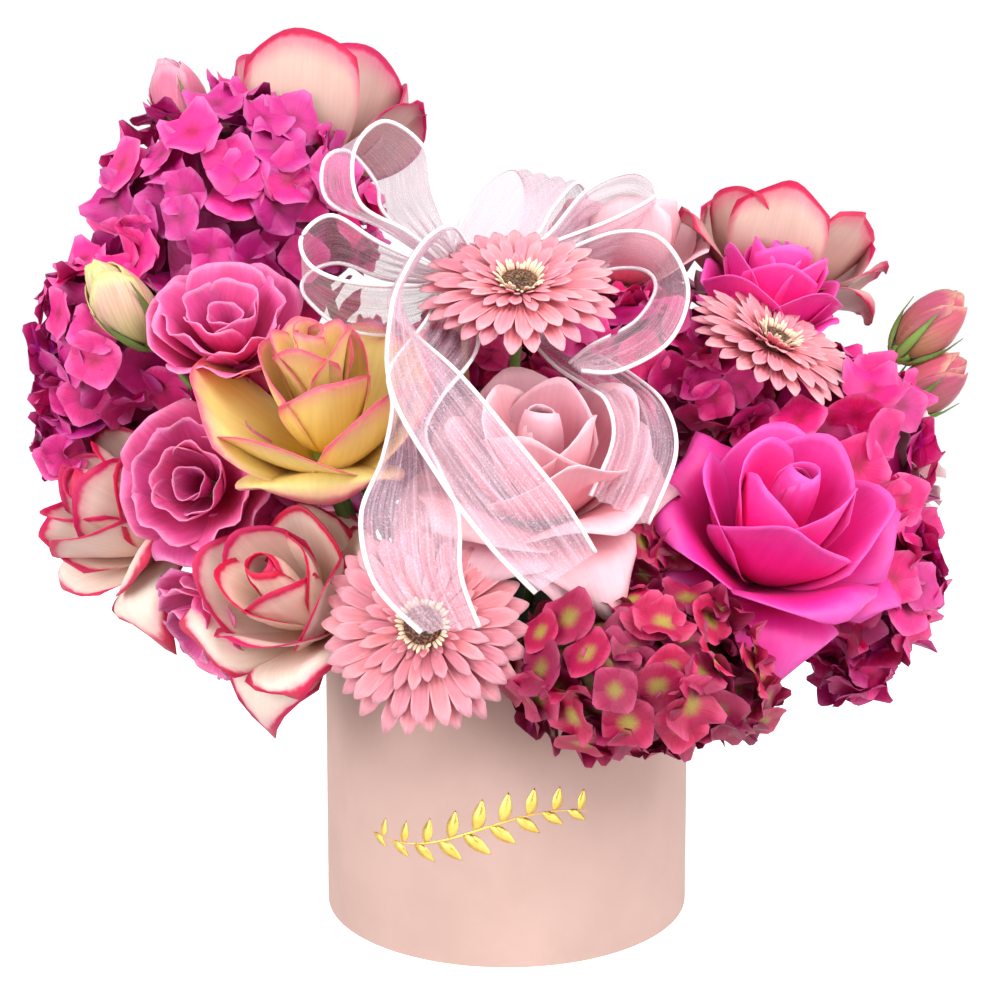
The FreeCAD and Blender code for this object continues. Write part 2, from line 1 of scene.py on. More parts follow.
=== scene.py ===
import json
import math
import bmesh
import bpy
import numpy as np
from mathutils import Matrix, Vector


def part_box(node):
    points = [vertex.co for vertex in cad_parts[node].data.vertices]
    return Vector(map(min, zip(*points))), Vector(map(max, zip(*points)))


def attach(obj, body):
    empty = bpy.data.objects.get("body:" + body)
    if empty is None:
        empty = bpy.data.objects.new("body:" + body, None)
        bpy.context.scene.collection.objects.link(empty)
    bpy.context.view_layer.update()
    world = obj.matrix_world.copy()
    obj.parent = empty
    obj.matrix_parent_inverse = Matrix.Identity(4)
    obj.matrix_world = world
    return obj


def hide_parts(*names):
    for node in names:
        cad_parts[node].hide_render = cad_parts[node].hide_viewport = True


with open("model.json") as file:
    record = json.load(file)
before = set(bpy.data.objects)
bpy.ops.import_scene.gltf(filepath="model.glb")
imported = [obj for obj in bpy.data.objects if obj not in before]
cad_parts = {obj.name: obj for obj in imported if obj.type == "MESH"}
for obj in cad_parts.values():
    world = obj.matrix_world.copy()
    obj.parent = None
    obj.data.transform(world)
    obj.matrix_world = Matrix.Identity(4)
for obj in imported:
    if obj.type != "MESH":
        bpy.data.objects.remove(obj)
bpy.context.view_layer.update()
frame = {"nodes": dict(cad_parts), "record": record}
nodes = frame["nodes"]
bodyOf = {node: body for body, group in frame["record"]["behaviour"]["bodies"].items() for node in group}
slotOf = {entry["node"]: entry["material_slot"] for entry in frame["record"]["subparts"]}
mm = 0.001
print("frame loaded with", len(nodes), "nodes")

_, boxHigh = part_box("wrap_paper")
boxRadius = boxHigh.x
boxHeight = boxHigh.z


# colours and materials

def tone(red, green, blue):  # display colour, 0 to 255, as a linear one
    share = np.array([red, green, blue]) / 255
    linear = np.where(share <= 0.04045, share / 12.92, ((share + 0.055) / 1.055) ** 2.4)
    return (*[float(part) for part in linear], 1.0)


def newMaterial(name, **sockets):  # a shader whose plain values are set on its own sockets
    material = bpy.data.materials.new(name)
    material.use_nodes = True
    shader = material.node_tree.nodes["Principled BSDF"]
    for socket, value in sockets.items():
        shader.inputs[socket.replace("_", " ")].default_value = value
    return material, material.node_tree, shader


def addNode(tree, kind, inputs=None, **settings):
    node = tree.nodes.new("ShaderNode" + kind)
    for key, value in settings.items():
        setattr(node, key, value)
    for socket, value in (inputs or {}).items():
        if isinstance(value, bpy.types.NodeSocket):
            tree.links.new(value, node.inputs[socket])
        else:
            node.inputs[socket].default_value = value
    return node


def addNoise(tree, vector, scale, detail):
    return addNode(tree, "TexNoise", {"Vector": vector, "Scale": scale, "Detail": detail}).outputs["Fac"]


def inSpace(tree):  # the piece's own coordinates
    return addNode(tree, "TexCoord").outputs["Object"]


def petalParts(tree):  # edge, along and chance, from the petal's own attribute
    own = addNode(tree, "Attribute", attribute_name="petal")
    parts = addNode(tree, "SeparateColor", {"Color": own.outputs["Color"]})
    return [parts.outputs[name] for name in ("Red", "Green", "Blue")]


def reckon(tree, operation, first, second, **settings):
    return addNode(tree, "Math", {0: first, 1: second}, operation=operation, **settings).outputs[0]


def mixColours(tree, factor, first, second):
    return addNode(tree, "Mix", {0: factor, 6: first, 7: second}, data_type="RGBA").outputs[2]


def mapRange(tree, value, low, high, to=(0.0, 1.0), smooth=True):
    kind = "SMOOTHSTEP" if smooth else "LINEAR"
    inputs = {"Value": value, "From Min": low, "From Max": high, "To Min": to[0], "To Max": to[1]}
    return addNode(tree, "MapRange", inputs, interpolation_type=kind).outputs["Result"]


def addBump(tree, shader, height, strength, distance):
    bump = addNode(tree, "Bump", {"Height": height, "Strength": strength, "Distance": distance})
    tree.links.new(bump.outputs["Normal"], shader.inputs["Normal"])


# Petal finish: throat, blade and edge colours follow the petal's own attribute (edge, along, chance), with a
# thin rim, a soft mottle and fine veins that run along the petal.
def petalFinish(look):
    material, tree, shader = newMaterial(
        look["name"], Roughness=0.5, Sheen_Weight=0.15, Sheen_Roughness=0.4, Subsurface_Weight=0.2,
        Subsurface_Scale=4 * mm, Specular_IOR_Level=0.35)
    shader.inputs["Subsurface Radius"].default_value = (1.0, 0.4, 0.5)
    shader.inputs["Sheen Tint"].default_value = look["edge"]
    edge, along, chance = petalParts(tree)
    strip = addNode(tree, "UVMap", uv_map="petalUv").outputs["UV"]
    fan = addNode(tree, "Mapping", {"Vector": strip, "Scale": (look["veins"], 1.2, 1.0)})
    veins = addNoise(tree, fan.outputs["Vector"], 1.6, 3.0)
    mottle = addNoise(tree, inSpace(tree), 150.0, 4.0)
    ragged = reckon(tree, "ADD", edge, reckon(tree, "MULTIPLY", mottle, look["rag"]))
    throat = mapRange(tree, along, look["throatFrom"], look["throatTo"])
    colour = mixColours(tree, throat, look["throat"], look["blade"])
    colour = mixColours(tree, mapRange(tree, ragged, look["edgeFrom"], look["edgeTo"]), colour, look["edge"])
    if "rim" in look:
        rim = mapRange(tree, ragged, look["rimFrom"], look["rimTo"])
        colour = mixColours(tree, rim, colour, look["rim"])
    spread = look["spread"]
    lift = mapRange(tree, chance, 0.0, 1.0, (1.0 - spread, 1.0 + 0.4 * spread), False)
    stripe = mapRange(tree, veins, 0.3, 0.7, (1.0 - look["streak"], 1.0), False)
    value = reckon(tree, "MULTIPLY", lift, stripe)
    drift = look["hueDrift"]
    hue = mapRange(tree, chance, 0.0, 1.0, (0.5 - drift, 0.5 + drift), False)
    shade = addNode(tree, "HueSaturation", {"Hue": hue, "Value": value, "Color": colour})
    tree.links.new(shade.outputs["Color"], shader.inputs["Base Color"])
    addBump(tree, shader, veins, look["veinBump"], 0.6 * mm)
    return material


def grainFinish(name, dark, light, scale, bump, detail=6.0, depth=0.8 * mm, **sockets):
    material, tree, shader = newMaterial(name, **sockets)
    grain = addNoise(tree, inSpace(tree), scale, detail)
    tree.links.new(mixColours(tree, grain, tone(*dark), tone(*light)), shader.inputs["Base Color"])
    addBump(tree, shader, grain, bump, depth)
    return material


# meshes from grids of points

def stacked(*parts):  # grids of one coordinate each, as one grid of points
    return np.stack(np.broadcast_arrays(*parts), -1)


def spun(x, y, turn):  # turned about the z axis
    return x * np.cos(turn) - y * np.sin(turn), x * np.sin(turn) + y * np.cos(turn)


def gridQuads(rows, cols):
    cell = np.arange(rows * cols).reshape(rows, cols)
    return stacked(cell[:-1, :-1], cell[:-1, 1:], cell[1:, 1:], cell[1:, :-1]).reshape(-1, 4)


def newSheaf():
    return {"points": [], "quads": [], "uv": [], "tint": [], "slot": [], "count": 0}


def addGrids(sheaf, points, uv=(0, 0), tint=(0, 0, 0), slot=0):  # points: any copies x rows x columns x 3
    rows, cols = points.shape[-3:-1]
    flat = points.reshape(-1, 3)
    firsts = np.arange(0, len(flat), rows * cols) + sheaf["count"]
    quads = (firsts[:, None, None] + gridQuads(rows, cols)).reshape(-1, 4)
    sheaf["quads"].append(quads)
    sheaf["points"].append(flat)
    sheaf["uv"].append(np.broadcast_to(uv, points.shape[:-1] + (2,)).reshape(-1, 2))
    sheaf["tint"].append(np.broadcast_to(tint, points.shape).reshape(-1, 3))
    sheaf["slot"].append(np.full(len(quads), slot))
    sheaf["count"] += len(flat)


def meshObject(name, sheaf, materials, thickness=0.0):
    points = np.concatenate(sheaf["points"])
    quads = np.concatenate(sheaf["quads"])
    mesh = bpy.data.meshes.new(name)
    mesh.from_pydata(points.tolist(), [], quads.tolist())
    mesh.polygons.foreach_set("material_index", np.concatenate(sheaf["slot"]).astype(np.int32))
    mesh.polygons.foreach_set("use_smooth", np.ones(len(quads), bool))
    tint = np.concatenate(sheaf["tint"])
    layer = mesh.attributes.new("petal", "FLOAT_COLOR", "POINT")
    layer.data.foreach_set("color", np.c_[tint, np.ones(len(tint))].astype(np.float32).ravel())
    uv = np.concatenate(sheaf["uv"])[quads.ravel()]
    mesh.uv_layers.new(name="petalUv").data.foreach_set("uv", uv.astype(np.float32).ravel())
    mesh.validate()
    joined = bmesh.new()
    joined.from_mesh(mesh)
    bmesh.ops.remove_doubles(joined, verts=joined.verts, dist=0.001 * mm)  # closes seams and poles
    joined.to_mesh(mesh)
    joined.free()
    piece = bpy.data.objects.new(name, mesh)
    bpy.context.scene.collection.objects.link(piece)
    for material in materials:
        mesh.materials.append(material)
    if thickness:
        shell = piece.modifiers.new("thickness", "SOLIDIFY")
        shell.thickness = thickness
        shell.offset = 0.0
    return piece


def standFor(piece, node):
    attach(piece, bodyOf[node])
    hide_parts(node)
    return piece


def polar(azimuth, radius, height):
    turn = math.radians(azimuth)
    return np.array([radius * math.cos(turn), radius * math.sin(turn), height])


def offRim(azimuth, reach, rise):  # a place from the rim of the box, in degrees and millimetres
    return polar(azimuth, boxRadius + reach * mm, boxHeight + rise * mm)


def unit(vector):
    return vector / np.linalg.norm(vector, axis=-1, keepdims=True)


def axesFacing(facing):  # rows: right, up and out of a bloom that looks along facing
    right = np.cross([0.0, 0.0, 1.0], facing)
    right = unit(right if np.linalg.norm(right) > 0.05 else np.array([1.0, 0.0, 0.0]))
    return np.stack([right, np.cross(facing, right), facing])


def offBox(points):  # whatever dips below the rim stays outside the box
    gap = 1.4 * mm
    flat = np.linalg.norm(points[..., :2], axis=-1)
    dips = (points[..., 2] < boxHeight + gap) & (flat < boxRadius + gap)
    push = np.where(dips, (boxRadius + gap) / np.maximum(flat, 1e-6), 1.0)
    moved = points.copy()
    moved[..., :2] *= push[..., None]
    return moved


# the bouquet, each bloom with its kind, look, width, azimuth, reach outward from the box wall, rise from the
# rim, and the pan and tilt of its face; millimetres and degrees
bloomFields = ("kind", "look", "width", "azimuth", "reach", "rise", "pan", "tilt")
bloomRows = {
    "gerbera_front": ("gerbera", "salmon", 86, -86, -15, 169, -88, 49),
    "gerbera_right": ("gerbera", "salmon", 86, -11, 38, 148, -55, 51),
    "gerbera_low": ("gerbera", "salmon", 86, -105, 36, 31, -96, 18),
    "rose_blush": ("roseOpen", "blush", 88, -81, -1, 98, -89, 55),
    "rose_fuchsia": ("roseOpen", "fuchsia", 98, -32, 51, 70, -74, 50),
    "rose_yellow": ("roseYellow", "yellow", 88, -133, 27, 124, -92, 53),
    "rose_left": ("roseOpen", "creamRed", 88, -171, 96, 72, -140, 30),
    "rose_low_left": ("roseOpen", "creamRed", 88, -136, 41, 41, -112, 34),
    "rose_top_left": ("roseCup", "cream", 98, 155, 18, 274, 79, 75),
    "rose_top_right": ("roseCup", "cream", 88, 20, 69, 211, 22, 74),
    "rose_pale_back": ("roseCup", "blush", 71, 37, -14, 209, 90, 84),
    "rose_fuchsia_back": ("roseFull", "fuchsia", 71, 8, 46, 182, -67, 68),
    "rose_back": ("roseOpen", "blush", 88, 88, 26, 71, 90, 27),
    "rose_back_top": ("roseFull", "cream", 88, 93, -5, 160, 90, 60),
    "rose_back_right": ("roseOpen", "fuchsia", 88, 30, 84, 87, 39, 17),
    "lisianthus_upper": ("lisianthus", "mauve", 64, -151, 51, 160, -85, 42),
    "lisianthus_left": ("lisianthus", "mauve", 64, -150, 68, 86, -99, 10),
    "lisianthus_low": ("lisianthus", "mauve", 54, -153, 65, 19, -136, -30),
    "lisianthus_right": ("lisianthus", "pale", 64, 0, 118, 100, -24, 12),
    "lisianthus_back": ("lisianthus", "mauve", 64, 153, 79, 101, 139, 21),
    "hydrangea_front": ("hydrangea", "antique", 92, -65, 32, 16, -75, 6),
    "hydrangea_top": ("hydrangea", "magenta", 134, 170, 47, 210, -119, 59),
    "hydrangea_left": ("hydrangea", "magenta", 92, -179, 97, 149, -144, 21),
    "hydrangea_right": ("hydrangea", "hotMagenta", 116, 0, 66, 88, -54, 21),
    "hydrangea_low_right": ("hydrangea", "hotMagenta", 92, -3, 84, 27, -25, -6),
    "hydrangea_middle": ("hydrangea", "hotMagenta", 92, 21, -24, 131, -90, 72),
    "hydrangea_back_left": ("hydrangea", "magenta", 116, 125, 36, 107, 111, 30),
    "hydrangea_back_right": ("hydrangea", "hotMagenta", 116, 51, 39, 137, 63, 37),
}
# a bud looks along its stem, whose root has a radius, a rise from the rim and a turn from the bud's azimuth
budFields = ("kind", "look", "width", "azimuth", "reach", "rise", "rootRadius", "rootRise", "rootTurn")
budRows = {
    "bud_top": ("bud", "budMauve", 33, 170, 79, 276, 26, -25, 0),
    "bud_right": ("bud", "budPink", 33, 4, 124, 160, 42, -10, 0),
    "bud_left": ("bud", "budGreen", 33, -164, 90, 165, 30, -25, -8),
    "bud_right_low": ("bud", "budPink", 33, 4, 125, 130, 54, -8, 7),
}
seatShare = dict(gerbera=0.12, lisianthus=0.5, bud=0.75, hydrangea=0.36)  # depth below the centre, in widths
roseSeatShare = 0.47
spins = {"rose_top_right": 62, "rose_fuchsia": -34, "rose_left": 20, "rose_low_left": -24}  # turn of a face
squats = {"rose_top_left": 0.87, "rose_top_right": 0.84, "rose_pale_back": 0.86}  # share of the full height
girths = dict(rose_top_left=0.94, rose_low_left=0.84, rose_fuchsia=0.95, rose_left=0.94, rose_blush=1.04)

bouquet = {name: dict(zip(bloomFields, row)) for name, row in bloomRows.items()}
bouquet.update({name: dict(zip(budFields, row)) for name, row in budRows.items()})
for name, bloom in bouquet.items():
    bloom["width"] *= mm
    bloom["spin"] = spins.get(name, 0)
    bloom["squat"] = squats.get(name, 1.0)
    bloom["girth"] = girths.get(name, 1.0)
    bloom["centre"] = offRim(bloom["azimuth"], bloom["reach"], bloom["rise"])
    if bloom["kind"] == "bud":
        root = polar(bloom["azimuth"] + bloom["rootTurn"], bloom["rootRadius"] * mm,
                     boxHeight + bloom["rootRise"] * mm)
        bloom["facing"] = unit(bloom["centre"] - root)
    else:
        flat = math.cos(math.radians(bloom["tilt"]))
        bloom["facing"] = polar(bloom["pan"], flat, math.sin(math.radians(bloom["tilt"])))
    depth = seatShare.get(bloom["kind"], roseSeatShare)
    bloom["seat"] = bloom["centre"] - bloom["facing"] * depth * bloom["width"]
    bloom["axes"] = axesFacing(bloom["facing"])


def placed(bloom, local):  # local: shares of the bloom's width along its own axes, from its seat
    form = [bloom["girth"], bloom["girth"], bloom["squat"]]
    return bloom["seat"] + (local * form * bloom["width"]) @ bloom["axes"]


# A petal is a strip, u across and v along. Its spine is a cubic Bezier line in radius and height, its half
# width swells as a sine to the belly and narrows to the tip, it wraps the axis by the hug, and its margins
# roll back along the outward normal with sine ruffles, a lengthwise groove and sine creases. The middle of
# the tip can be notched or drawn out. Every petal of a ring differs a little by three seeded chances.
def petalRing(ring, draw, spin=0):
    count = ring["count"]
    rows, cols = ring["grid"]
    u = np.linspace(-1, 1, cols)
    v = np.linspace(0, 1, rows)[:, None]
    chance = draw.random((count, 1, 1))
    second = draw.random((count, 1, 1)) - 0.5
    third = draw.random((count, 1, 1)) - 0.5
    dent = ring["notch"] * np.exp(-(u / 0.3) ** 2)
    reach = v * (1 - dent - ring["point"] * np.abs(u) ** 2)
    weights = [(1 - reach) ** 3, 3 * reach * (1 - reach) ** 2, 3 * reach ** 2 * (1 - reach), reach ** 3]
    slopes = [(1 - reach) ** 2, 2 * reach * (1 - reach), reach ** 2]
    spine = np.array(ring["spine"])
    steps = np.diff(spine, axis=0)
    jitter = ring["jitter"]
    radius = sum(weight * point[0] for weight, point in zip(weights, spine)) * (1 + jitter * second * reach)
    height = sum(weight * point[1] for weight, point in zip(weights, spine)) * (1 + jitter * third * reach)
    across = sum(weight * step[0] for weight, step in zip(slopes, steps))
    upward = sum(weight * step[1] for weight, step in zip(slopes, steps))
    length = np.maximum(np.hypot(across, upward), 1e-6)
    belly, rootShare, hug = ring["belly"], ring["rootShare"], ring["hug"]
    swell = rootShare + (1 - rootShare) * np.sin(np.pi / 2 * np.clip(reach / belly, 0, 1))
    narrow = 1 - ring["taper"] * np.clip((reach - belly) / (1 - belly), 0, 1) ** 2
    side = u * ring["half"] * swell * narrow * (1 + 0.15 * third)
    sway = 0.35 * min(360 / count, 60) * second
    start = np.radians(spin + ring["start"] + 360 / count * np.arange(count)[:, None, None] + sway)
    turn = start + hug * side / np.maximum(radius, ring["tightest"])
    roll = ring["roll"] * np.abs(u) ** 3 * reach ** 1.5 * (1 + second)
    ruffle = ring["ruffle"] * reach ** 3 * np.sin(ring["waves"] * np.pi * u + 6.28 * chance)
    groove = ring["groove"] * np.cos(3 * np.pi * u) * np.sin(np.pi * reach)
    crease = ring["crease"] * reach * np.sin(4.4 * u + 6.28 * chance + 2.4 * v)
    crease = crease * np.sin(3.6 * v + 5 * second)
    offset = roll + ruffle + groove + crease
    radius = radius + offset * upward / length
    height = height - offset * across / length
    flatSide = (1 - hug) * side
    x = radius * np.cos(turn) - flatSide * np.sin(start)
    y = radius * np.sin(turn) + flatSide * np.cos(start)
    edge = np.maximum(np.abs(u) * (0.66 + 0.34 * v), v)
    return stacked(x, y, height), stacked(u * 0.5 + 0.5 + 7 * chance, v), stacked(edge, v, chance)


# A turned form: a profile of radius and height, carried round the axis.
def turnedGrid(profile, segments=24):
    radius, height = np.array(profile, float).T[..., None]
    angle = np.linspace(0, 2 * np.pi, segments + 1)
    along = np.linspace(0, 1, len(profile))[:, None]
    points = stacked(radius * np.cos(angle), radius * np.sin(angle), height)
    return points, stacked(angle / 6.28, along), stacked(0 * angle, along, 0.5)


def addPetals(sheaf, bloom, grid, slot):  # a ring or a turned form in its place on the bloom
    points, uv, tint = grid
    addGrids(sheaf, offBox(placed(bloom, points)), uv, tint, slot)


plainLook = dict(veins=14.0, veinBump=0.35, rag=0.2, throatFrom=0.05, throatTo=0.55, spread=0.3, streak=0.1,
                 hueDrift=0.008)


def lookOf(name, blade, throat, edge, edgeFrom, edgeTo, **rest):  # display colours, and the edge's reach
    own = dict(name=name, blade=tone(*blade), throat=tone(*throat), edge=tone(*edge), edgeFrom=edgeFrom,
               edgeTo=edgeTo)
    return {**plainLook, **own, **rest}


looks = {
    "cream": lookOf("creamPetal", (204, 163, 152), (184, 126, 94), (212, 98, 126), 0.78, 1.0,
                    rim=tone(196, 8, 76), rimFrom=0.945, rimTo=0.985, rag=0.05, spread=0.1),
    "creamRed": lookOf("creamRedPetal", (250, 222, 208), (224, 164, 126), (234, 110, 142), 0.84, 1.04,
                       rim=tone(206, 8, 78), rimFrom=0.93, rimTo=0.985, rag=0.08, spread=0.14),
    "blush": lookOf("blushPetal", (240, 166, 180), (220, 104, 128), (248, 196, 206), 0.7, 1.2, spread=0.16),
    # the fuchsia's darker throat colour is painted shade deep in the bloom
    "fuchsia": lookOf("fuchsiaPetal", (250, 36, 156), (200, 0, 90), (252, 92, 190), 0.7, 1.25, spread=0.25),
    "yellow": lookOf("yellowPetal", (250, 222, 140), (228, 180, 44), (246, 182, 150), 0.8, 1.0,
                     rim=tone(228, 88, 118), rimFrom=0.95, rimTo=1.04, rag=0.08, spread=0.12),
    "salmon": lookOf("salmonPetal", (246, 140, 154), (200, 62, 84), (250, 176, 188), 0.8, 1.2,
                     throatTo=0.35, veins=8.0, veinBump=0.5, streak=0.2, spread=0.22),
    "mauve": lookOf("mauvePetal", (244, 92, 166), (196, 10, 92), (252, 160, 200), 0.9, 1.25,
                    throatFrom=0.15, throatTo=0.75, streak=0.22, spread=0.2),
    "pale": lookOf("palePetal", (248, 206, 212), (228, 140, 160), (254, 232, 232), 0.75, 1.2, spread=0.12),
    "magenta": lookOf("magentaFloret", (230, 30, 142), (186, 2, 92), (242, 104, 182), 0.72, 1.2,
                      throatTo=0.45, spread=0.34, hueDrift=0.014, streak=0.25),
    "hotMagenta": lookOf("hotMagentaFloret", (236, 22, 132), (194, 0, 84), (244, 98, 170), 0.72, 1.2,
                         throatTo=0.45, spread=0.32, hueDrift=0.014, streak=0.25),
    "antique": lookOf("antiqueFloret", (184, 8, 78), (184, 160, 66), (218, 74, 126), 0.74, 1.2,
                      throatFrom=0.06, throatTo=0.5, spread=0.5, hueDrift=0.008, streak=0.3),
    "budMauve": lookOf("mauveBudPetal", (222, 110, 146), (200, 160, 116), (240, 180, 196), 0.8, 1.2,
                       spread=0.2, streak=0.25),
    "budPink": lookOf("pinkBudPetal", (200, 78, 108), (170, 124, 84), (232, 180, 142), 0.95, 1.2,
                      throatTo=0.8, spread=0.2, streak=0.3),
    "budGreen": lookOf("greenBudPetal", (226, 172, 152), (194, 188, 110), (228, 216, 144), 0.85, 1.1,
                       throatTo=0.7, spread=0.15, streak=0.3),
}
finishes = {name: petalFinish(look) for name, look in looks.items()}
green = petalFinish(lookOf("greenSepal", (120, 148, 62), (150, 172, 92), (86, 116, 46), 0.7, 1.1,
                           spread=0.25))
print("petal finishes made:", len(finishes))


# ring tables in shares of the bloom's width; a spine is four points of radius and height

plainPetal = dict(grid=(13, 11), notch=0.0, point=0.2, jitter=0.12, belly=0.6, rootShare=0.25, taper=0.3,
                  hug=1.0, tightest=0.06, roll=0.0, ruffle=0.0, waves=3, groove=0.0, crease=0.0)


def ringOf(count, start, spine, half, **rest):
    return {**plainPetal, **dict(count=count, start=start, spine=spine, half=half), **rest}


calyx = ringOf(5, 18, [(.03, .02), (.10, .03), (.15, .08), (.19, .05)], .05, point=.75, hug=.5, belly=.35,
               taper=.8, grid=(7, 5))
roseFullRings = [
    ringOf(3, 10, [(.02, .16), (.11, .28), (.13, .60), (.05, .73)], .24, point=.12),
    ringOf(4, 70, [(.03, .13), (.19, .26), (.20, .58), (.19, .75)], .25, point=.16, roll=.03),
    ringOf(5, 20, [(.04, .11), (.27, .20), (.28, .56), (.36, .69)], .26, hug=.9, roll=.06),
    ringOf(5, 56, [(.05, .10), (.36, .15), (.38, .50), (.49, .55)], .29, hug=.75, point=.24, roll=.09),
    ringOf(5, 24, [(.05, .08), (.36, .08), (.46, .40), (.53, .30)], .27, hug=.6, point=.3, roll=.1),
]
roseCupRings = [
    ringOf(3, 10, [(.02, .16), (.12, .28), (.15, .58), (.06, .68)], .24, point=.15),
    ringOf(4, 70, [(.03, .13), (.22, .24), (.26, .56), (.22, .70)], .27, point=.15, roll=.03),
    ringOf(3, 28, [(.04, .11), (.34, .16), (.42, .52), (.46, .74)], .33, hug=.95, point=.14, roll=.05,
           crease=.03),
    ringOf(3, 88, [(.05, .09), (.44, .10), (.54, .46), (.46, .77)], .31, hug=.8, point=.2, roll=.03,
           jitter=.05, crease=.02),
    ringOf(2, 178, [(.05, .08), (.42, .10), (.50, .52), (.64, .50)], .27, hug=.6, point=.35, roll=.14,
           ruffle=.03, crease=.04),
]
extraRings = {
    "rose_top_right": [
        ringOf(1, 176, [(.05, .08), (.40, .12), (.62, .40), (.62, .02)], .30, hug=.6, point=.25, roll=.12,
               crease=.03),
    ],
    "rose_blush": [
        ringOf(1, 289, [(.05, .09), (.34, .22), (.62, .52), (.76, .10)], .30, hug=.6, point=.5, roll=.1,
               crease=.03),
        ringOf(1, 236, [(.05, .09), (.34, .22), (.58, .52), (.70, .16)], .36, hug=.7, point=.3, roll=.08,
               crease=.03),
    ],
}
roseOpenRings = [
    ringOf(3, 10, [(.02, .18), (.11, .32), (.14, .62), (.06, .76)], .25, point=.2, crease=.01),
    ringOf(4, 60, [(.03, .14), (.20, .26), (.24, .60), (.24, .79)], .29, point=.3, roll=.05, crease=.02),
    ringOf(4, 15, [(.04, .12), (.30, .22), (.34, .58), (.44, .71)], .33, hug=.9, point=.36, roll=.09,
           crease=.03),
    ringOf(4, 312, [(.05, .10), (.34, .22), (.48, .58), (.64, .42)], .36, hug=.7, point=.42, roll=.12,
           ruffle=.02, waves=1.3, crease=.04),
    ringOf(4, 284, [(.05, .09), (.34, .20), (.58, .50), (.72, .05)], .34, hug=.6, point=.48, roll=.13,
           ruffle=.02, waves=1.3, crease=.04, notch=-.04),
]
roseYellowRings = [
    ringOf(3, 10, [(.02, .24), (.06, .42), (.09, .70), (.07, .84)], .15, point=.1),
    ringOf(5, 50, [(.03, .20), (.11, .36), (.13, .68), (.19, .85)], .17, point=.2, roll=.06),
    ringOf(3, 300, [(.04, .14), (.20, .24), (.24, .54), (.24, .72)], .28, point=.2, roll=.05, crease=.03),
    ringOf(2, 186, [(.05, .10), (.34, .16), (.46, .42), (.54, .66)], .42, hug=.8, point=.12, roll=.05,
           crease=.03),
    ringOf(1, 276, [(.05, .10), (.34, .20), (.54, .52), (.54, .24)], .42, hug=.6, point=.22, roll=.12,
           crease=.03),
    ringOf(1, 330, [(.05, .10), (.34, .16), (.44, .44), (.44, .64)], .36, hug=.8, point=.16, roll=.06),
    ringOf(2, 60, [(.05, .10), (.34, .16), (.46, .44), (.52, .58)], .36, hug=.8, point=.2, roll=.06),
]
lisianthusRings = [
    ringOf(3, 10, [(.02, .12), (.08, .26), (.10, .42), (.12, .52)], .18, point=.06, ruffle=.015, waves=1.5),
    ringOf(4, 60, [(.03, .10), (.18, .24), (.22, .44), (.25, .58)], .26, point=.05, ruffle=.025, waves=1.6),
    ringOf(5, 20, [(.04, .08), (.28, .20), (.34, .44), (.42, .56)], .31, hug=.9, point=.06, ruffle=.035,
           waves=1.8, roll=.03),
    ringOf(5, 50, [(.05, .07), (.34, .14), (.44, .42), (.54, .45)], .33, hug=.75, point=.08, ruffle=.04,
           waves=1.7, roll=.04),
]
gerberaPetal = dict(hug=.2, belly=.75, rootShare=.3)
gerberaRings = [
    ringOf(26, 0, [(.09, .11), (.22, .12), (.38, .15), (.50, .11)], .044, **gerberaPetal, point=.16,
           groove=.006, grid=(9, 7), jitter=.1),
    ringOf(26, 7, [(.09, .13), (.20, .15), (.34, .19), (.45, .17)], .042, **gerberaPetal, point=.16,
           groove=.006, grid=(9, 7), jitter=.14),
    ringOf(22, 3, [(.09, .15), (.15, .17), (.22, .20), (.30, .21)], .030, **gerberaPetal, point=.2,
           groove=.004, grid=(7, 5), jitter=.3),
    ringOf(24, 9, [(.09, .16), (.12, .18), (.15, .20), (.19, .215)], .016, hug=.2, point=.3, belly=.6,
           rootShare=.4, grid=(5, 4), jitter=.4),
]
ringTables = dict(roseFull=roseFullRings, roseCup=roseCupRings, roseOpen=roseOpenRings,
                  roseYellow=roseYellowRings, lisianthus=lisianthusRings)
petalThickness = 0.45 * mm
seeds = dict(rose=400, roseStep=37, gerbera=5, bud=9, hydrangea=21)  # starts of the random draws


def bloomsOf(kinds):
    return [(name, bloom) for name, bloom in bouquet.items() if bloom["kind"] in kinds]


# roses and lisianthus: rings of petals over a green seat

roseSeat = [(0, 0), (.035, .0), (.05, .03), (.075, .07), (.07, .12), (.03, .16), (0, .17)]
for name, bloom in bloomsOf(ringTables):
    draw = np.random.default_rng(len(name) * seeds["roseStep"] + bloom["azimuth"] + seeds["rose"])
    sheaf = newSheaf()
    for ring in ringTables[bloom["kind"]] + extraRings.get(name, []):
        addPetals(sheaf, bloom, petalRing(ring, draw, bloom["spin"]), 0)
    addPetals(sheaf, bloom, petalRing(calyx, draw), 1)
    addPetals(sheaf, bloom, turnedGrid(roseSeat), 1)
    standFor(meshObject(name + "_bloom", sheaf, [finishes[bloom["look"]], green], petalThickness), name)
print("roses and lisianthus made")


# gerberas: rings of grooved petals, a cream ring of disc florets and a dark heart

def discFinish():
    material, tree, shader = newMaterial("gerberaDisc", Roughness=0.7)
    _, along, _ = petalParts(tree)
    colour = mixColours(tree, mapRange(tree, along, 0.5, 0.9), tone(84, 26, 40), tone(26, 12, 14))
    grains = addNode(tree, "TexVoronoi", {"Vector": inSpace(tree), "Scale": 900.0}).outputs["Distance"]
    colour = mixColours(tree, mapRange(tree, grains, 0.35, 0.8), colour, tone(140, 100, 56))
    tree.links.new(colour, shader.inputs["Base Color"])
    addBump(tree, shader, grains, 0.8, 1.2 * mm)
    return material


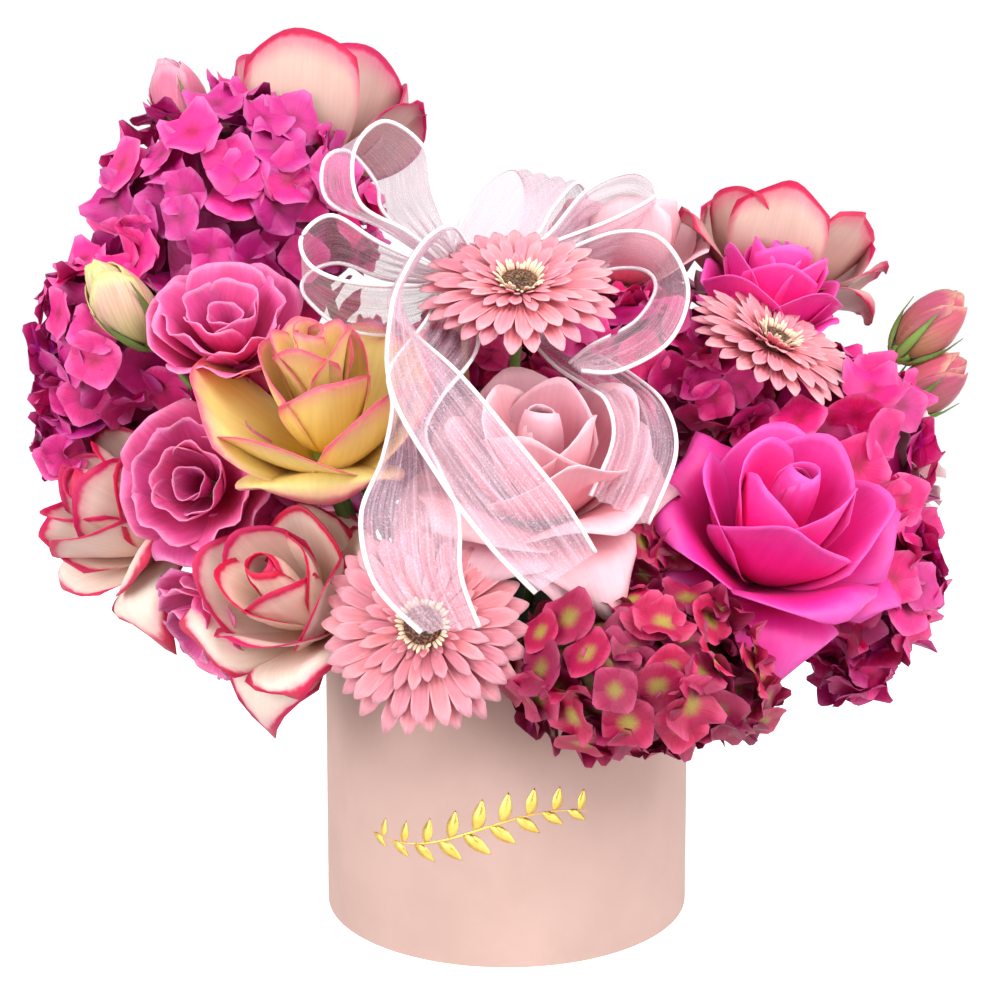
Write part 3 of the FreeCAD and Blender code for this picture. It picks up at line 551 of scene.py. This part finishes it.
disc = discFinish()
cream = petalFinish(lookOf("stamenCream", (252, 236, 196), (236, 150, 130), (255, 244, 210), 0.7, 1.0,
                           spread=0.15))
stamens = ringOf(36, 4, [(.088, .17), (.098, .195), (.11, .21), (.128, .222)], .008, hug=.1, point=.2,
                 belly=.7, rootShare=.6, grid=(5, 3), jitter=.25)
heart = [(.0, .03), (.035, .0), (.06, .02), (.10, .09), (.105, .15), (.09, .178), (.05, .19), (.02, .178),
         (0, .172)]
for name, bloom in bloomsOf(["gerbera"]):
    draw = np.random.default_rng(bloom["rise"] + seeds["gerbera"])
    sheaf = newSheaf()
    for ring in gerberaRings:
        addPetals(sheaf, bloom, petalRing(ring, draw), 0)
    addPetals(sheaf, bloom, petalRing(stamens, draw), 1)
    addPetals(sheaf, bloom, turnedGrid(heart, 32), 2)
    materials = [finishes[bloom["look"]], cream, disc]
    standFor(meshObject(name + "_bloom", sheaf, materials, petalThickness), name)
print("gerberas made")


# buds: petals furled round each other in a spiral, with a calyx of narrow sepals

budRings = [
    ringOf(3, 0, [(.05, .12), (.42, .40), (.46, .95), (.08, 1.40)], .62, hug=1.0, point=.25, belly=.5,
           taper=.5, jitter=.06, tightest=.12),
    ringOf(3, 60, [(.06, .08), (.50, .34), (.48, .95), (.22, 1.28)], .50, hug=1.0, point=.3, belly=.5,
           taper=.5, roll=.06, jitter=.08, tightest=.14),
]
budCalyx = ringOf(5, 20, [(.08, .02), (.34, .10), (.44, .40), (.50, .86)], .10, point=.8, hug=.7, belly=.3,
                  taper=.8, grid=(9, 5), jitter=.1)
budSeat = [(0, 0), (.10, .0), (.15, .06), (.17, .14), (.10, .22), (0, .24)]
budForm = dict(twist=0.9, thickness=0.4 * mm)  # radians of twist for each width of height
for name, bloom in bloomsOf(["bud"]):
    draw = np.random.default_rng(bloom["rise"] + seeds["bud"])
    sheaf = newSheaf()
    for ring in budRings:
        points, uv, tint = petalRing(ring, draw)
        x, y, z = np.moveaxis(points, -1, 0)
        addPetals(sheaf, bloom, (stacked(*spun(x, y, budForm["twist"] * z), z), uv, tint), 0)
    addPetals(sheaf, bloom, petalRing(budCalyx, draw), 1)
    addPetals(sheaf, bloom, turnedGrid(budSeat), 1)
    materials = [finishes[bloom["look"]], green]
    standFor(meshObject(name + "_bloom", sheaf, materials, budForm["thickness"]), name)
print("buds made")


# ribbons: each station has a middle from the knot and a half width, both x, y, z in millimetres

knotPlace = dict(azimuth=-113, reach=-38, rise=178)
knot = offRim(**knotPlace)
ribbonWidth = 38 * mm
ribbonForm = dict(pleats=4, deepest=2.2 * mm, fullness=0.9, edgeThread=0.95 * mm)
ribbons = {
    "loop_upper_left": [
        (-6, -1, 3, 0, -7, 0), (-29, -6, 19, 7, -14, -3), (-51, -14, 30, 9, -16, -3),
        (-53, -14, 50, 9, -17, -1), (-42, -6, 60, 10, -16, 3), (-28, 2, 49, 12, -14, 5),
        (-24, 4, 32, 12, -15, 2), (-4, 0, 6, 3, -7, 0)],
    "loop_left": [
        (-6, -1, -4, 0, -7, 1), (-20, -12, -16, -1, -8, 9), (-46, -30, -17, 2, -16, 9),
        (-65, -26, -6, 4, -18, 5), (-68, -18, 6, 2, -18, 6), (-55, -12, 14, 1, -17, 8),
        (-34, -8, 5, 0, -16, 6), (-7, -1, -1, 0, -7, 1)],
    "loop_right": [
        (6, 1, -3, 0, -7, 1), (28, 11, 0, -1, -12, 2), (46, 18, 6, -2, -16, 4), (72, 16, 13, -2, -18, 6),
        (88, 6, 9, 1, -18, 5), (94, -4, -7, 5, -18, -1), (84, -16, -26, 6, -17, -5),
        (63, -24, -38, 5, -15, -6), (50, -28, -42, 2, -9, -2)],
    "loop_back_left": [
        (1, 6, 6, -5, 0, 1), (15, 32, 24, -17, 2, 4), (26, 52, 44, -17, 2, 6), (40, 68, 57, -16, 3, 4),
        (46, 80, 44, -16, 3, 4), (36, 66, 12, -15, 2, 3), (22, 40, -8, -12, 2, 2), (1, 8, -6, -4, 0, 1)],
    "loop_back_right": [
        (6, 7, 0, 0, 4, -1), (24, 22, 4, -2, 8, -7), (46, 38, 10, -3, 11, -11), (72, 54, 22, -3, 12, -11),
        (92, 66, 37, -2, 13, -9), (80, 66, 45, -3, 12, -11), (56, 52, 34, -3, 11, -11),
        (34, 38, 12, -2, 7, -7), (6, 8, 2, 0, 4, -1)],
    "tail_long": [
        (1, -7, 7, 4, 1, 2), (-8, -22, 15, 5, 4, 4), (-18, -32, 4, 5, -2, 8), (-25, -43, -10, 4, -7, 7),
        (-21, -58, -26, -5, -5, 5), (-11, -76, -50, -13, -11, -3), (10, -88, -80, -15, -10, -6),
        (28, -94, -103, -14, -9, -8), (43, -96, -122, -12, -13, -6)],
    "tail_left": [
        (-1, -8, -5, -5, 0, 1), (-3, -40, -29, -11, -1, 5), (-17, -56, -50, -10, -3, 6),
        (-19, -64, -65, -6, -7, 5), (-17, -80, -82, -11, -4, 2), (-16, -98, -100, -18, -5, 0),
        (-12, -112, -122, -15, -11, 0), (0, -118, -140, -10, -11, 1)],
    "tail_right": [
        (5, -1, -6, 0, -5, 0), (30, 14, -24, -2, -12, -2), (52, 4, -38, -10, -11, -3),
        (66, -16, -48, -12, -8, -2), (75, -40, -58, -13, -4, 1), (77, -54, -76, -13, -1, 3),
        (66, -64, -101, -12, -3, 6)],
}


def organzaFinish():
    material, tree, shader = newMaterial("organza", Roughness=0.35, Sheen_Weight=0.6, Specular_IOR_Level=0.6)
    shader.inputs["Base Color"].default_value = tone(218, 180, 197)
    strip = addNode(tree, "UVMap", uv_map="petalUv").outputs["UV"]
    threads = addNode(tree, "TexChecker", {"Vector": strip, "Scale": 120.0})
    glints = addNoise(tree, inSpace(tree), 1300.0, 2.0)
    sparkle = mapRange(tree, glints, 0.52, 0.72, (0.26, 0.56))
    warp = addNode(tree, "Mapping", {"Vector": strip, "Scale": (34.0, 1.1, 1.0)})
    folds = addNoise(tree, warp.outputs["Vector"], 1.0, 2.0)
    streak = mapRange(tree, folds, 0.4, 0.68, (0.02, 0.26))
    weave = reckon(tree, "MULTIPLY", threads.outputs["Fac"], 0.06)
    woven = reckon(tree, "ADD", sparkle, weave)
    alpha = reckon(tree, "ADD", woven, streak, use_clamp=True)
    tree.links.new(alpha, shader.inputs["Alpha"])
    addBump(tree, shader, glints, 0.3, 0.4 * mm)
    return material


organza = organzaFinish()
selvedge = grainFinish("selvedge", (246, 232, 238), (255, 255, 255), 1400.0, 0.6, detail=2.0,
                       depth=0.5 * mm, Roughness=0.3, Sheen_Weight=0.5)


# A smooth line through the stations: each span is a Catmull-Rom cubic of its four nearest stations.
def throughStations(values, steps=8):
    values = np.array(values, float)
    padded = np.concatenate([values[:1], values, values[-1:]])
    share = (np.arange(steps) / steps)[None, :, None]
    before, here, there, after = [padded[shift:shift + len(values) - 1, None] for shift in range(4)]
    bend = (there - before) * share + (2 * before - 5 * here + 4 * there - after) * share ** 2
    line = here + 0.5 * (bend + (3 * here - before - 3 * there + after) * share ** 3)
    return np.concatenate([line.reshape(-1, 3), values[-1:]])


# The cloth is as wide all along: where the ribbon is drawn in, the spare width stands in sine pleats.
def ribbonGrid(stations, cols=25):
    stations = np.array(stations, float)
    middle = throughStations(stations[:, :3]) * mm + knot
    half = throughStations(stations[:, 3:]) * mm
    ahead = np.gradient(middle, axis=0)
    depth = unit(np.cross(ahead, half))
    across = np.linspace(-1, 1, cols)
    wide = 2 * np.linalg.norm(half, axis=1)
    spare = np.sqrt(np.maximum((ribbonWidth / wide) ** 2 - 1, 0))
    height = np.minimum(spare * wide / (np.pi * ribbonForm["pleats"]), ribbonForm["deepest"])
    wave = height[:, None] * np.sin(ribbonForm["pleats"] * np.pi * across)[None] * ribbonForm["fullness"]
    return middle[:, None] + half[:, None] * across[None, :, None] + depth[:, None] * wave[..., None]


# A round thread: circles carried along a line, closed to a point at both ends.
def threadGrid(line, radius, sides=6):
    ahead = unit(np.gradient(line, axis=0))
    first = unit(np.cross(ahead, np.array([0.3, 0.5, 0.81])))
    second = np.cross(ahead, first)
    angle = np.linspace(0, 2 * np.pi, sides + 1)
    circle = first[:, None] * np.cos(angle)[None, :, None] + second[:, None] * np.sin(angle)[None, :, None]
    tube = line[:, None] + circle * radius
    ends = np.repeat(line[[0, -1], None], sides + 1, axis=1)
    return np.concatenate([ends[:1], tube, ends[1:]])


ribbonPoints = []
for name, stations in ribbons.items():
    grid = ribbonGrid(stations)
    rows, cols = grid.shape[:2]
    lengthAlong = np.linalg.norm(np.diff(grid.mean(1), axis=0), axis=1).sum()
    u = np.linspace(0, 1, cols)
    v = np.linspace(0, lengthAlong / ribbonWidth, rows)[:, None]
    sheaf = newSheaf()
    addGrids(sheaf, grid, stacked(u, v), stacked(u, v, 0.5))
    ribbon = standFor(meshObject(name + "_ribbon", sheaf, [organza]), name)
    edges = newSheaf()
    for line in (grid[:, 0], grid[:, -1]):
        addGrids(edges, threadGrid(line, ribbonForm["edgeThread"]))
    hem = meshObject(name + "_edges", edges, [selvedge])
    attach(hem, bodyOf[name])
    ribbonPoints.append(grid[::2, ::4].reshape(-1, 3))
ribbonPoints = np.concatenate(ribbonPoints)

# the knot: a band drawn tight round the ribbon ends, with sine gathers along it
knotShape = dict(radius=9.4 * mm, half=11.2 * mm, bulge=1.6 * mm, gathers=14.4, depth=0.7 * mm, mouth=0.55,
                 thickness=0.5 * mm, cover=0.92)
rows, cols = 13, 49
angle = np.linspace(0, 2 * np.pi, cols)
along = np.linspace(1, -1, rows)[:, None]
fold = knotShape["depth"] * np.sin(knotShape["gathers"] * along + 2 * np.sin(2 * angle)) * (1 - along ** 4)
bandRadius = knotShape["radius"] - knotShape["bulge"] * along ** 2 + fold
bandRadius = bandRadius * np.where(np.abs(along) > 0.99, knotShape["mouth"], 1.0)
band = stacked(bandRadius * np.cos(angle), knotShape["half"] * along, bandRadius * np.sin(angle))
sheaf = newSheaf()
u = np.linspace(0, 1, cols)
v = np.linspace(0, 1, rows)[:, None]
addGrids(sheaf, band + knot, stacked(u, v), stacked(u, v, u))
knotFinish = organza.copy()
knotFinish.name = "organzaGathered"
knotAlpha = knotFinish.node_tree.nodes["Principled BSDF"].inputs["Alpha"]
knotFinish.node_tree.links.remove(knotAlpha.links[0])
knotAlpha.default_value = knotShape["cover"]
standFor(meshObject("bow_knot_band", sheaf, [knotFinish], knotShape["thickness"]), "bow_knot")
print("bow made")


# hydrangeas: four-petalled florets on a golden-angle spiral over a ball, in two layers

# a layer has a share of the head's radius and its brightest chance; the inner layer's low brightest chance
# paints its florets darker, painted shade deep in the head
hydrangea = dict(floret=30 * mm, cover=0.86, crowd=1.9, core=0.74, bumps=0.06, scatter=0.10, lowest=0.94,
                 uneven=0.1, layers=[(1.0, 1.0), (0.84, 0.3)])
# room that florets leave at the ribbons, the wall and the rim, and how they lean, grow and cup
floretForm = dict(ribbonGap=8 * mm, wallGap=6 * mm, rimGap=26 * mm, lean=0.34, smallest=0.8, growth=0.32,
                  flattest=0.4, cupping=2.6)
# how far a head is drawn out sideways and upward, how far it is raised, and its share of a full floret
headForms = {"hydrangea_front": (1.14, 0.7, -4 * mm, 0.8), "hydrangea_low_right": (0.74, 0.8, 8 * mm, 1.0),
             "hydrangea_left": (0.9, 1.0, 0 * mm, 1.0), "hydrangea_right": (0.9, 1.0, 0 * mm, 1.0),
             "hydrangea_top": (0.96, 0.98, 0 * mm, 1.0)}
# small clusters on stalks that stand out of a head, between other blooms: middle and radius in millimetres
clusterForm = dict(fewest=5, perArea=0.07, inner=0.6, floretShare=0.85, brightest=0.8, stalk=0.8 * mm,
                   arch=3 * mm, foot=0.25)
clusters = {
    "hydrangea_top": [((-124, -38, 258), 22)],
    "hydrangea_left": [((-206, -12, 228), 24), ((-112, -50, 196), 22)],
    "hydrangea_front": [((56, -72, 180), 24), ((94, -116, 124), 18)],
    "hydrangea_middle": [((-2, -14, 258), 26), ((-40, -22, 258), 24), ((30, -40, 262), 20)],
    "hydrangea_right": [((104, -24, 250), 20)],
    "hydrangea_back_left": [((-42, 48, 238), 26), ((-6, 46, 236), 24), ((-30, 8, 220), 22)],
    "hydrangea_low_right": [((172, -12, 112), 15), ((158, -14, 126), 9)],
}


# A floret petal is a rounded rhomb: its half width is a sine of the way along, and it dishes up to the tip.
floretPetal = dict(half=0.31, dish=0.09, droop=0.07, stagger=0.025)  # in floret widths


def floretGrid():
    u = np.linspace(1, -1, 4)
    v = np.linspace(0, 1, 5)[:, None]
    length = v * (1 - 0.2 * np.abs(u) ** 2)
    x = 0.5 * length
    y = u * (floretPetal["half"] * np.sin(np.pi * (0.05 + 0.77 * v)) ** 0.85)
    z = floretPetal["dish"] * length ** 2 - floretPetal["droop"] * np.abs(u) ** 2 * v
    turns = np.radians([0, 90, 180, 270])[:, None, None]
    petals = stacked(*spun(x, y, turns), z + floretPetal["stagger"] * np.cos(2 * turns) * length)
    edge = np.maximum(np.abs(u) * (0.3 + 0.7 * v), v)
    return petals, stacked(u * 0.5 + 0.5, v), edge, np.hypot(x, y) / 0.5


# each kind's height and the radius at its foot, middle and top, in widths
bloomRoom = dict(gerbera=(0.26, [0.48, 0.48, 0.48]), lisianthus=(0.62, [0.14, 0.44, 0.46]),
                 bud=(1.5, [0.14, 0.44, 0.46]))
roseRoom = (0.74, [0.14, 0.44, 0.46])
headRoom = 0.47


def insideBlooms(points, owner):  # true where a point lies in another bloom's room
    hit = np.zeros(len(points), bool)
    for name, bloom in bouquet.items():
        if name == owner:
            continue
        width = bloom["width"]
        if bloom["kind"] == "hydrangea":
            hit |= np.linalg.norm(points - bloom["centre"], axis=1) < headRoom * width
            continue
        local = (points - bloom["seat"]) @ bloom["axes"].T / width
        tall, radii = bloomRoom.get(bloom["kind"], roseRoom)
        flare = np.interp(local[:, 2] / tall, [0, 0.5, 1], radii)
        hit |= (local[:, 2] > 0) & (local[:, 2] < tall) & (np.hypot(local[:, 0], local[:, 1]) < flare)
    return hit


channel = dict(core=7 * mm, florets=4.5 * mm)  # room round a loose stem, from its middle line
looseStems = {"hydrangea_top": "bud_top"}  # the bud whose stem slides through a head


def offStem(points, centres, bud):  # each floret keeps to its own side of a loose stem
    away = centres - bud["centre"]
    away = unit(away - (away @ bud["facing"])[:, None] * bud["facing"])[:, None, None, None]
    lack = channel["florets"] - ((points - bud["centre"]) * away).sum(-1)
    return points + np.maximum(lack, 0)[..., None] * away


stalks = {"hydrangea_low_right": [(150, -10, 138), (156, -12, 128), (164, -13, 120), (170, -12, 112)]}
petals, floretUv, floretEdge, floretAlong = floretGrid()


def spiralOut(count, cover, turnFrom, draw):  # directions on a golden-angle spiral from a ball's pole
    index = np.arange(count) + 0.5
    rise = 1 - 2 * cover * index / count
    turn = index * math.pi * (3 - math.sqrt(5)) + turnFrom
    ring = np.sqrt(1 - rise ** 2)
    out = stacked(ring * np.cos(turn), ring * np.sin(turn), rise)
    return unit(out + hydrangea["scatter"] * draw.normal(size=out.shape))


def addFlorets(sheaf, owner, centres, out, width, brightest, draw):
    flat = np.linalg.norm(centres[:, :2], axis=1)
    keep = ~insideBlooms(centres, owner)
    keep &= (flat > boxRadius + floretForm["wallGap"]) | (centres[:, 2] > boxHeight + floretForm["rimGap"])
    keep &= np.linalg.norm(centres[:, None] - ribbonPoints[None], axis=2).min(1) > floretForm["ribbonGap"]
    out, centres = out[keep], centres[keep]
    count = len(out)
    lean = unit(out + floretForm["lean"] * draw.normal(size=out.shape))
    spin = draw.random(count) * 6.28
    side = unit(np.cross(lean, np.array([0.31, 0.52, 0.79])))
    right = side * np.cos(spin)[:, None] + np.cross(lean, side) * np.sin(spin)[:, None]
    axes = np.stack([right, np.cross(lean, right), lean], 1)
    sizes = width * (floretForm["smallest"] + floretForm["growth"] * draw.random(count))
    cup = floretForm["flattest"] + floretForm["cupping"] * draw.random(count) ** 2
    local = petals * (stacked(1.0, 1.0, cup) * sizes[:, None])[:, None, None, None]
    points = centres[:, None, None, None] + np.einsum("nprci,nij->nprcj", local, axes)
    if owner in looseStems:
        points = offStem(points, centres, bouquet[looseStems[owner]])
    # each floret's chance is a random tone, capped by its layer's brightest chance; the inner layer's low
    # cap is painted shade deep in the head
    chance = (draw.random(count) * brightest)[:, None, None, None]
    addGrids(sheaf, offBox(points), floretUv, stacked(floretEdge, floretAlong, chance))


for name, bloom in bloomsOf(["hydrangea"]):
    draw = np.random.default_rng(bloom["rise"] + seeds["hydrangea"])
    radius = bloom["width"] / 2
    wide, tall, raised, floretShare = headForms.get(name, (1.0, 1.0, 0.0, 1.0))
    stretch = np.array([wide, 1.0, tall])
    middle = bloom["centre"] + np.array([0.0, 0.0, raised])
    floretWidth = hydrangea["floret"] * floretShare
    sheaf = newSheaf()
    for layer, (share, brightest) in enumerate(hydrangea["layers"]):
        shell = radius * share
        count = int(hydrangea["crowd"] * hydrangea["cover"] * 4 * math.pi * (shell / floretWidth) ** 2)
        out = spiralOut(count, hydrangea["cover"], 2 * layer, draw) @ bloom["axes"]
        depth = hydrangea["lowest"] + hydrangea["uneven"] * draw.random((count, 1))
        centres = middle + out * stretch * shell * depth
        addFlorets(sheaf, name, centres, out / stretch, floretWidth, brightest, draw)
    for clusterMiddle, clusterRadius in clusters.get(name, []):
        count = max(clusterForm["fewest"], int(clusterForm["perArea"] * clusterRadius ** 2))
        out = spiralOut(count, 1.0, 0, draw)
        spread = clusterForm["inner"] + (1 - clusterForm["inner"]) * draw.random((count, 1))
        clusterCentre = np.array(clusterMiddle) * mm
        centres = clusterCentre + out * clusterRadius * mm * spread
        clusterFloret = clusterForm["floretShare"] * floretWidth
        addFlorets(sheaf, name, centres, out, clusterFloret, clusterForm["brightest"], draw)
        stalk = middle + np.linspace(1.0, clusterForm["foot"], 7)[:, None] * (clusterCentre - middle)
        stalk[1:-1, 2] += clusterForm["arch"]
        addGrids(sheaf, offBox(threadGrid(stalk, clusterForm["stalk"])), slot=1)
    ballAngle = np.linspace(0, 2 * np.pi, 25)
    core = radius * hydrangea["core"]
    ballTop = math.acos(channel["core"] / core) if name in looseStems else math.pi / 2
    ballRise = np.linspace(-1, 1, 15)[:, None] * ballTop
    bumps = 1 + hydrangea["bumps"] * np.sin(7 * ballAngle + 5 * ballRise) * np.cos(ballRise)
    ballRadius = core * bumps
    ballFlat = ballRadius * np.cos(ballRise)
    ball = stacked(ballFlat * np.cos(ballAngle), ballFlat * np.sin(ballAngle), ballRadius * np.sin(ballRise))
    ball = ball * stretch
    if name in looseStems:  # the core is bored along the stem
        ball = np.concatenate([ball, ball[:1]]) @ bouquet[looseStems[name]]["axes"]
    # the core ball takes the floret finish at its dark throat and darkest chance: painted shade, so the gaps
    # between florets look dark
    addGrids(sheaf, offBox(ball + middle), tint=(0, 0.2, 0))
    if name in stalks:
        addGrids(sheaf, threadGrid(throughStations(stalks[name]) * mm, clusterForm["stalk"]), slot=1)
    standFor(meshObject(name + "_bloom", sheaf, [finishes[bloom["look"]], green]), name)
print("hydrangeas made")


# finishes of the pieces that keep their CAD shape

def paperFinish():
    material, tree, shader = newMaterial("pinkPaper", Roughness=0.75, Specular_IOR_Level=0.25)
    space = inSpace(tree)
    cloud = addNode(tree, "TexNoise", {"Vector": space, "Scale": 22.0, "Detail": 5.0, "Roughness": 0.6})
    patches = mapRange(tree, cloud.outputs["Fac"], 0.3, 0.7)
    colour = mixColours(tree, patches, tone(199, 165, 155), tone(207, 173, 163))
    tree.links.new(colour, shader.inputs["Base Color"])
    addBump(tree, shader, addNoise(tree, space, 900.0, 3.0), 0.12, 0.3 * mm)
    return material


cadFinishes = {
    "pink_paper": paperFinish(),
    "grey_board": grainFinish("greyBoard", (150, 146, 140), (190, 186, 180), 500.0, 0.3, Roughness=0.85),
    "black_liner": grainFinish("blackLiner", (20, 20, 21), (34, 34, 36), 300.0, 0.1, Roughness=0.4),
    "wet_foam": grainFinish("wetFoam", (24, 66, 36), (52, 104, 60), 900.0, 0.8, Roughness=0.8),
    "green_stem": grainFinish("greenStem", (70, 104, 40), (112, 142, 66), 120.0, 0.3, Roughness=0.5),
    "wooden_pick": grainFinish("woodenPick", (176, 134, 86), (214, 180, 130), 260.0, 0.3, Roughness=0.65),
}
replaced = set(bouquet) | set(ribbons) | {"bow_knot"}
for node, piece in nodes.items():
    if node in replaced:
        continue
    piece.data.materials.clear()
    piece.data.materials.append(cadFinishes[slotOf[node]])


# a gold leaf sprig pressed on the front of the box

sprig = dict(middle=-15 * mm, height=60 * mm, reach=52 * mm, rise=9 * mm, bow=2.2, stem=0.55 * mm,
             proud=0.12 * mm, thickness=0.08 * mm)
sprigLeaf = dict(count=9, first=-0.92, last=0.86, stagger=0.05, length=15 * mm, shrink=0.42, half=0.2,
                 curl=0.12, lean=22, splay=48)


def onWall(across, up):  # paper coordinates laid round the front of the box
    turn = across / boxRadius - math.pi / 2
    radius = boxRadius + sprig["proud"]
    return stacked(radius * np.cos(turn), radius * np.sin(turn), up)


def goldFinish():
    material, tree, shader = newMaterial("goldFoil", Metallic=1.0)
    wear = addNoise(tree, inSpace(tree), 260.0, 4.0)
    colour = mixColours(tree, wear, tone(196, 148, 50), tone(240, 206, 116))
    tree.links.new(colour, shader.inputs["Base Color"])
    tree.links.new(mapRange(tree, wear, 0.3, 0.7, (0.22, 0.42)), shader.inputs["Roughness"])
    addBump(tree, shader, wear, 0.1, 0.2 * mm)
    return material


def sprigLine(share):  # the stem is a sine bow, share -1 to 1 along it
    up = sprig["height"] + sprig["rise"] * np.sin(sprig["bow"] * share)
    return sprig["middle"] + sprig["reach"] * share, up


sheaf = newSheaf()
share = np.linspace(-1, 1, 60)
edge = np.linspace(-1, 1, 2)[:, None]
across, up = sprigLine(share)
stemHalf = sprig["stem"] * (1.15 - np.abs(share))
addGrids(sheaf, onWall(across, up + stemHalf * edge))
for place in np.linspace(sprigLeaf["first"], sprigLeaf["last"], sprigLeaf["count"]):
    for way in (-1, 1):
        stemAcross, stemUp = sprigLine(place + sprigLeaf["stagger"] * way)
        lean = math.radians(sprigLeaf["lean"] + way * sprigLeaf["splay"])
        size = sprigLeaf["length"] * (1.0 - sprigLeaf["shrink"] * abs(place))
        far = np.linspace(0, 1, 12)
        half = sprigLeaf["half"] * size * np.sin(np.pi * far ** 0.8)
        along = size * far
        sideways = half * edge + sprigLeaf["curl"] * size * way * far ** 2
        leafAcross = stemAcross + along * math.cos(lean) - sideways * math.sin(lean)
        leafUp = stemUp + along * math.sin(lean) + sideways * math.cos(lean)
        addGrids(sheaf, onWall(leafAcross, leafUp))
foil = meshObject("gold_sprig", sheaf, [goldFinish()], sprig["thickness"])
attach(foil, "box")
print("box finished")


# floor, light and camera

studio = dict(floorSize=8.0, domeRadius=3.9, aim=(0.0, 0.0, 0.22), sky=0.46, glow=0.85)
lamps = {"keyLight": dict(place=(0.6, -1.3, 1.65), size=1.4, power=33.0),
         "rightFill": dict(place=(1.6, -1.15, 0.6), size=1.6, power=25.0),
         "leftFill": dict(place=(-1.45, -1.35, 0.7), size=1.6, power=36.0)}


def addLamp(name, place, size, power):
    lamp = bpy.data.lights.new(name, "AREA")
    lamp.size = size
    lamp.energy = power
    holder = bpy.data.objects.new(name, lamp)
    bpy.context.scene.collection.objects.link(holder)
    back = unit(np.array(place) - np.array(studio["aim"]))
    right, up, out = axesFacing(back)
    matrix = np.eye(4)
    matrix[:3, 0], matrix[:3, 1], matrix[:3, 2], matrix[:3, 3] = right, up, out, place
    holder.matrix_world = Matrix(matrix.tolist())


for name, lamp in lamps.items():
    addLamp(name, **lamp)


def addStage(name, mesh, base, glow):  # floor and backdrop shine white for the camera alone
    finish, _, shader = newMaterial(name, Roughness=0.9, Emission_Strength=glow)
    shader.inputs["Base Color"].default_value = base
    shader.inputs["Emission Color"].default_value = (1.0, 1.0, 1.0, 1.0)
    mesh.materials.append(finish)
    piece = bpy.data.objects.new(name, mesh)
    bpy.context.scene.collection.objects.link(piece)
    piece.visible_diffuse = False
    piece.visible_shadow = False


half = studio["floorSize"] / 2
floorMesh = bpy.data.meshes.new("floor")
floorCorners = [(-half, -half, 0), (half, -half, 0), (half, half, 0), (-half, half, 0)]
floorMesh.from_pydata(floorCorners, [], [(0, 1, 2, 3)])
addStage("floor", floorMesh, tone(228, 227, 226), studio["glow"])
domeProfile = [(studio["domeRadius"] * math.cos(tilt), studio["domeRadius"] * math.sin(tilt))
               for tilt in np.linspace(-0.02, math.pi / 2, 12)]
domePoints = turnedGrid(domeProfile, 48)[0]
domeQuads = gridQuads(*domePoints.shape[:2])[:, [0, 3, 2, 1]]  # the faces look inward
domeMesh = bpy.data.meshes.new("dome")
domeMesh.from_pydata(domePoints.reshape(-1, 3).tolist(), [], domeQuads.tolist())
addStage("dome", domeMesh, tone(0, 0, 0), 1.0)
world = bpy.data.worlds.new("studio")
world.use_nodes = True
world.node_tree.nodes["Background"].inputs["Color"].default_value = (1.0, 1.0, 1.0, 1.0)
world.node_tree.nodes["Background"].inputs["Strength"].default_value = studio["sky"]
bpy.context.scene.world = world
bpy.context.scene.view_settings.view_transform = "Standard"

view = dict(place=(0.0, -0.596, 0.243), pitch=4.36, lens=43.2, sensor=36.0, shiftX=-0.00675)
camera = bpy.data.cameras.new("camera")
camera.lens = view["lens"]
camera.sensor_width = view["sensor"]
camera.sensor_fit = "HORIZONTAL"
camera.shift_x = view["shiftX"]
camera.clip_start = 0.01
cameraHolder = bpy.data.objects.new("camera", camera)
cameraHolder.location = view["place"]
cameraHolder.rotation_euler = (math.radians(90 - view["pitch"]), 0, 0)
bpy.context.scene.collection.objects.link(cameraHolder)
bpy.context.scene.camera = cameraHolder
print("studio set")
